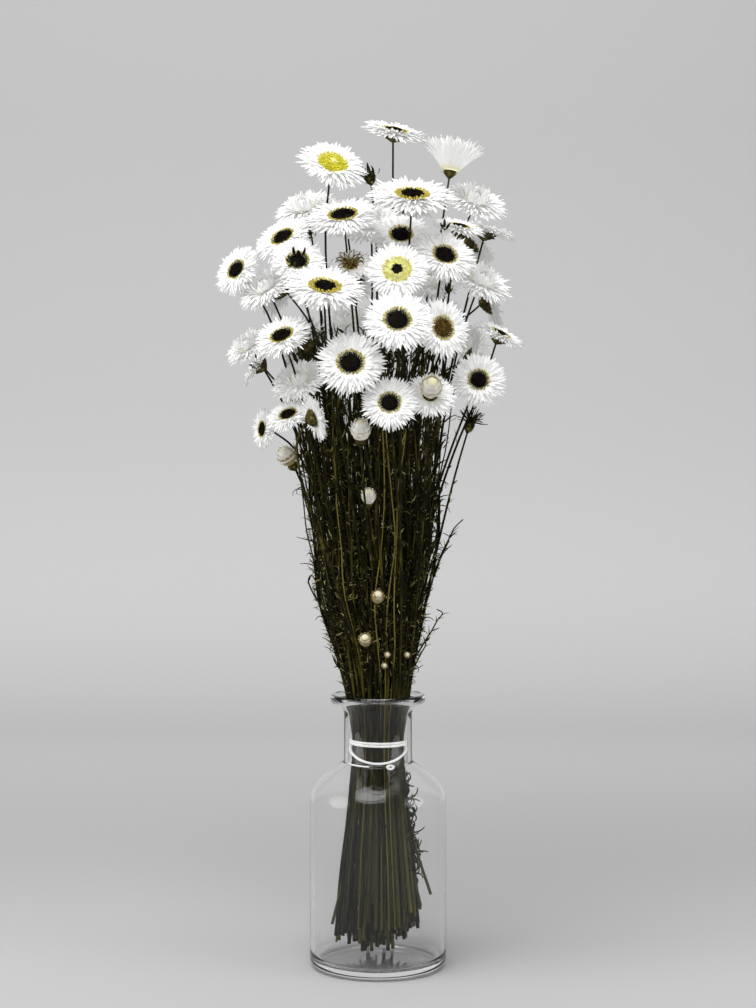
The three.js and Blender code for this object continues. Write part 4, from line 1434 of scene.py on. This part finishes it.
# %% Make the leaves
LEAVES_PER_STEM = 34
LEAVES_PER_CURL = 12
LEAF_SEED = 91
LARGE_CURLS = (
    ((-31, -5, 203), (-34.1, -5, 205.7), (-38.5, -5, 215.1), (-36.8, -5, 219), (-34.1, -5, 215.1)),
    ((31, -5, 220), (33, -5, 224.5), (37.4, -5, 234.4), (39.6, -5, 238.2)),
    ((31, -5, 218), (34.6, -5, 229.4), (39.6, -5, 239.8), (42.4, -5, 245.4), (47.2, -5, 250.1)),
    ((22, -8, 176), (27, -6, 184), (29.7, -5, 188.1), (33, -5, 194.1), (35.8, -5, 198), (32.5, -5, 200.2)),
    ((-18, -5, 162), (-20.4, -5, 166), (-23.7, -5, 170.4), (-25.3, -5, 174.8)),
    ((16, -8, 162), (21, -6, 170), (23.7, -5, 175.4), (26.4, -5, 180.3), (25.3, -5, 184.7)),
)


def make_leaves():
    """All the leaves in two pieces: those outside and on the stems, and those inside the bunch."""
    random = SeededRandom(LEAF_SEED)
    copies = outer_curls(random)
    for stem in shoots + routes:
        copies += strand_leaves(stem["points"], LEAVES_PER_STEM, random)
    for path in LARGE_CURLS:
        copies += strand_leaves([np.array(point, dtype=float) for point in path], LEAVES_PER_CURL, random)
    piece = gather("dry_leaves", copies, LEAF_SKIN)
    finish_piece(piece, "stem")
    finish_piece(gather("inner_leaves", inner_leaves(random), LEAF_SKIN), "stem")
    print("leaves", len(copies), "faces", len(piece.data.polygons))


make_leaves()

# %% [markdown]
# ## Curled wisps
# Thin threads curl out of the bunch. Most of them are drawn at random, on the right side in the
# bottle and round the open bunch. Each large curl follows a path of its own.

# %% Curled wisps
SCRAP_COUNT = 90
SCRAP_HEIGHTS = (50, 108)
WISP_COUNT = 170
WISP_HEIGHTS = (158, 300)
WISP_SEED = 63


def curled_wisp(root, outward, climb, length, curl):
    """A thin thread that leaves the bunch at a slope and curls up along its own plane."""
    points = [np.array(root)]
    steps = 9
    for i in range(steps):
        slope = climb + curl * ((i + 1) / steps) ** 1.4
        way = outward * math.cos(slope) + np.array((0, 0, math.sin(slope)))
        points.append(points[-1] + way * length / steps)
    return points


def make_wisps():
    """Threads that hang on the right side in the bottle, and others round the open bunch."""
    random = SeededRandom(WISP_SEED)
    strands = []
    for _ in range(SCRAP_COUNT):
        height = random.between(*SCRAP_HEIGHTS)
        angle = math.radians(random.between(-40, 25))
        outward = unit((math.cos(angle + random.between(-0.7, 0.7)), math.sin(angle), 0))
        reach = random.between(5, 10) * min(1, (125 - height) / 30)
        root = around(angle, bunch_radius(height) * 0.95, height)
        points = curled_wisp(root, outward, random.between(-1.2, 0.8), reach, random.between(-4.5, 4.5))
        strands.append((points, 0.55, 0.28, 0.5 * random()))
    for _ in range(WISP_COUNT):
        height = random.between(*WISP_HEIGHTS)
        angle = 2 * math.pi * random()
        root = leafy_place(height, angle, 0.93)
        if hides_bud(root):
            continue
        outward = unit(around(angle + random.between(-0.8, 0.8), 1, 0))
        points = curled_wisp(root, outward, random.between(0.2, 1.2), random.between(5, 11), random.between(-3.5, 2.5))
        strands.append((points, 0.38, 0.14, 0.7 * random()))
    for path in LARGE_CURLS:
        strands.append((smooth_route(path, 4), 0.55, 0.3, 0.3))
    finish_piece(tubes("curled_wisps", strands, LEAF_SKIN, 0), "stem")
    print("wisps", len(strands))


make_wisps()

# %% [markdown]
# ## Buds
# A closed bud is an egg of overlapping papery scales, cream at the top and tan at the root. The
# egg is spun from an outline, and four rows of scales lie on it. The last of the six stands in
# the middle of a bloom that is half open. Three tiny buds hang near the bottle's mouth.

# %% Scales of a bud
BUD_OUTLINE = ((0, 0), (0.45, 0.1), (0.8, 0.42), (0.97, 0.9), (1, 1.15), (0.9, 1.6), (0.62, 2.02), (0.3, 2.27),
               (0, 2.35))
BUD_ROWS = ((9, 0.06, 0.42, 46, 1.0), (11, 0.3, 0.74, 64, 1.2), (10, 0.75, 0.95, 84, 1.2), (9, 1.25, 0.94, 106, 1.1))
TAN_TONES = (0.0, 0.35)
CREAM_TONES = (0.85, 1.0)
bud_master = make_dome("bud_egg", BUD_OUTLINE, 20)


def bud_parts(bud, tan_rows, random):
    """The egg of a bud and its rows of scales, tan up to a row and cream above it."""
    stand = stand_at(bud["at"], bud["facing"])
    size = bud["radius"]
    parts = [(bud_master, stand @ Matrix.Scale(size * 0.95, 4), 1.0)]
    for row, (count, height, away, lean, reach) in enumerate(BUD_ROWS):
        trim = 0.85 if row == 3 and tan_rows > 3 else 1
        tones = TAN_TONES if row < tan_rows else CREAM_TONES
        scale = (size * 0.7, size * reach * trim, size)
        for i in range(count):
            angle = 2 * math.pi * (i + 0.5 * (row % 2)) / count
            tilt = math.radians(lean + random.between(-4, 4))
            matrix = set_round(stand, angle, size * away, size * height, tilt, scale)
            parts.append((scale_master, matrix, random.between(*tones)))
    return parts


# %% Make the buds
OPENING_BLOOM = 22
OPENING_BUD_RADIUS = 5.4
TAN_ROWS = (1, 1, 4, 4, 2, 1)
TINY_BUDS = ((4.9, -21, 176.5), (3.3, -21, 170.5), (15.8, -17, 175.9))
TINY_FACING = (0.1, -1, 0.2)
TINY_RADIUS = 1.7
BUD_SEED = 700
BUD_CUP_SEED = 720
TINY_SEED = 730


def make_buds():
    """Six buds, the green cups of the first five, and the tiny buds in one piece."""
    opening = blooms[OPENING_BLOOM - 1]
    place = opening["at"] + opening["facing"] * (opening["radius"] * 0.12 + 1.0)
    closed = buds + [{"at": place, "facing": opening["facing"], "radius": OPENING_BUD_RADIUS}]
    for number, bud in enumerate(closed, 1):
        parts = bud_parts(bud, TAN_ROWS[number - 1], SeededRandom(BUD_SEED + number))
        finish_piece(gather(f"cream_bud_{number}", parts, CREAM_BUD), "bud", f"bud_{number}")
    cups, tiny = [], []
    for bud in buds:
        cups += cup_parts({**bud, "hole": bud["radius"] * 0.55}, SeededRandom(BUD_CUP_SEED))
    finish_piece(gather("bud_cups", cups, CUP_GREEN), "stem")
    for number, place in enumerate(TINY_BUDS):
        bud = {"at": np.array(place), "facing": unit(TINY_FACING), "radius": TINY_RADIUS}
        tiny += bud_parts(bud, len(BUD_ROWS), SeededRandom(TINY_SEED + number))
    finish_piece(gather("tiny_buds", tiny, CREAM_BUD), "bud")
    print("buds", len(closed), "tiny buds", len(TINY_BUDS))


make_buds()

# %% [markdown]
# ## Bare heads
# Two heads have lost their petals. One is a dark knob with thin stiff bristles. The other gets a
# claw of hooked bracts, which is made with the spent parts.

# %% Bare heads
BRISTLES = 60
BARE_HEAD_SEED = 41
knob_head, claw_head = bare_heads


def knob_bristles(head, random):
    """Stiff threads that stand away from a knob on all sides."""
    turn = np.array(turn_to(head["facing"]).to_3x3())
    root = head["at"] + head["facing"] * head["radius"] * 0.6
    strands = []
    for i in range(BRISTLES):
        lean = random.between(0.15, 1.5)
        way = turn @ around(i * GOLDEN_TURN, math.sin(lean), math.cos(lean))
        middle = root + way * random.between(4, 6)
        tip = middle + way * random.between(2.5, 4.5) + np.array((0, 0, random.between(-1.5, 1.0)))
        strands.append(([root, middle, tip], 0.3, 0.16, 0.2))
    return strands


def make_bare_heads():
    """A knob in a green cup on each bare head, and bristles on one of them."""
    random = SeededRandom(BARE_HEAD_SEED)
    knobs, bristles = [], []
    for head in bare_heads:
        size = head["radius"]
        dome = stand_at(head["at"], head["facing"]) @ Matrix.Diagonal((size, size, size * 1.3, 1))
        knobs += cup_parts({**head, "hole": size * 0.8}, random) + [(dome_master, dome, 0.5)]
        if head is knob_head:
            bristles += knob_bristles(head, random)
    finish_piece(gather("bare_head_knobs", knobs, LEAF_SKIN), "stem")
    finish_piece(tubes("bare_head_bristles", bristles, STEM_BARK, 0), "stem")
    print("bare heads", len(bare_heads), "bristles", len(bristles))


make_bare_heads()

# %% [markdown]
# ## Spent parts
# Between the blooms sit dark narrow bracts that hook inwards at their tips. They ring the middle
# of one bloom, make the claw of the second bare head, and stand in a few tufts. One spent bloom
# carries tan threads that fork.

# %% Spent parts between the blooms
TUFTS = (
    ((36.8, -50, 371.8), (0.1, -0.5, 0.85), 8),
    ((35.4, -42, 406.6), (0.0, -0.8, 0.5), 6),
    ((59.3, -20, 405.4), (0.6, -0.6, -0.4), 6),
    ((-34.3, -45, 402.6), (-0.4, -0.8, 0.3), 6),
    ((-64.6, -25, 334.2), (-0.5, -0.8, 0.1), 7),
)
HOOKED_BLOOM = 9
SPENT_BLOOM = 15
SPENT_SEED = 52
FORKED_THREADS = 10
FORKS = (-0.35, 0.3)


def hooked_bracts(at, facing, away, count, length, random):
    """Dark narrow bracts round a middle, hooked inwards at their tips."""
    stand = stand_at(at, facing)
    copies = []
    for i in range(count):
        angle = 2 * math.pi * (i + random.between(-0.3, 0.3)) / count
        lean = math.radians(random.between(20, 70))
        size = (length * 0.3, length * random.between(0.7, 1.2), length)
        copies.append((leaf_masters["hooked"], set_round(stand, angle, away, 0.5, lean, size), 0.6 * random()))
    return copies


def forked_threads(spent, random):
    """Threads that rise from a spent disc, each forking in two."""
    turn = np.array(turn_to(spent["facing"]).to_3x3())
    strands = []
    for i in range(FORKED_THREADS):
        for fork in FORKS:
            points = [spent["at"] + spent["facing"] * 1.5]
            for step in range(1, 6):
                lean = 0.5 + 0.24 * step
                way = turn @ around(i * GOLDEN_TURN + fork * max(0, step - 2), math.sin(lean), math.cos(lean))
                points.append(points[-1] + way * spent["radius"] * 0.19 * random.between(0.7, 1.1))
            strands.append((points, 0.45, 0.26, 0.5))
    return strands


def make_spent_parts():
    """Dark bracts in one piece, and the threads of the spent bloom in another."""
    random = SeededRandom(SPENT_SEED)
    hooked = blooms[HOOKED_BLOOM - 1]
    copies = hooked_bracts(hooked["at"] + hooked["facing"], hooked["facing"], hooked["hole"] * 0.9, 11, 5.5, random)
    copies += hooked_bracts(claw_head["at"], claw_head["facing"], claw_head["radius"] * 0.8, 9, 7.0, random)
    for at, facing, count in TUFTS:
        copies += hooked_bracts(np.array(at, dtype=float), unit(facing), 0.9, count, 5.0, random)
    finish_piece(gather("dark_bracts", copies, LEAF_SKIN), "stem")
    threads = forked_threads(blooms[SPENT_BLOOM - 1], random)
    finish_piece(tubes("tan_threads", threads, TAN_FLORET, 0), "stem")
    print("bracts", len(copies), "threads", len(threads))


make_spent_parts()

# %% [markdown]
# ## The string
# Three strands of cotton are twisted into the string. It goes twice tightly round the waist of
# the bunch, once loosely with a dip at the front, and ends in a short tail with a small knot.
# Each strand is a thin tube whose centre circles the route as it goes along.

# %% String route
TIE_STRING_RADIUS = 0.6
TIGHT_TURNS = 2
TAIL_TURNS = 1.2
SLACK_DIP = 8.5
TAIL_DROP = 10.8
STRING_GAP = 0.3
STRING_POINTS = 560
KNOT = (6.6, -15.2, 113.2)
KNOT_TURNS = 1.9
KNOT_POINTS = 46
KNOT_WIDTH = 1.9
KNOT_HEIGHT = 1.25


def tie_height(turn):
    """Height of the string after some turns: tight at first, then a slack dip, then the tail."""
    pitch = 2 * TIE_STRING_RADIUS + STRING_GAP
    tight = TIE_HEIGHT + 1 - pitch * min(turn, TIGHT_TURNS)
    slack = max(0, turn - TIGHT_TURNS)
    if slack == 0:
        return tight
    if slack < 0.5:
        return tight - SLACK_DIP * math.sin(2 * math.pi * slack)
    return tight - TAIL_DROP * min(1, 2 * slack - 1)


def string_route():
    """Points of the string on the outside of the bunch, from its hidden end to its tail."""
    points = []
    waist = bunch_radius(TIE_HEIGHT)
    for turn in np.linspace(0, TIGHT_TURNS + TAIL_TURNS, STRING_POINTS):
        height = tie_height(turn)
        away = max(bunch_radius(height), waist) + 1.5 * STRING_GAP + TIE_STRING_RADIUS
        points.append(around(math.pi + 2 * math.pi * turn, away, height))
    return points


def knot_route():
    """A small knot under the slack loop, at the front."""
    points = []
    for turn in np.linspace(0, KNOT_TURNS, KNOT_POINTS):
        angle = 2 * math.pi * turn
        points.append(np.array((KNOT[0] + KNOT_WIDTH * math.cos(angle) * (1 - 0.12 * turn), KNOT[1] - 0.5 * turn,
                                KNOT[2] + KNOT_HEIGHT * math.sin(angle))))
    return points


# %% Twist the strands
TWIST_LENGTH = 2.6
THICK_STRING = 0.74
STRAND_RADIUS = 0.47
STRAND_PHASES = (0, 2 * math.pi / 3, 4 * math.pi / 3)


def twisted(route, phase):
    """A strand that circles the route."""
    points = []
    run = 0.0
    for i, point in enumerate(route):
        ahead = unit(route[min(i + 1, len(route) - 1)] - route[max(i - 1, 0)])
        side = unit(np.cross(ahead, (0, 0, 1)))
        up = np.cross(side, ahead)
        turn = 2 * math.pi * run / TWIST_LENGTH + phase
        points.append(point + (side * math.cos(turn) + up * math.sin(turn)) * (THICK_STRING - STRAND_RADIUS))
        if i + 1 < len(route):
            run += np.linalg.norm(route[i + 1] - point)
    return points


def make_string():
    """The string and its knot, each of three strands, in one piece."""
    strands = [(twisted(path, phase), STRAND_RADIUS, STRAND_RADIUS, 0.5)
               for path in (string_route(), knot_route()) for phase in STRAND_PHASES]
    piece = tubes("cotton_tie", strands, COTTON, 1)
    finish_piece(piece, "string", "tie_string")
    print("string faces", len(piece.data.polygons))


make_string()
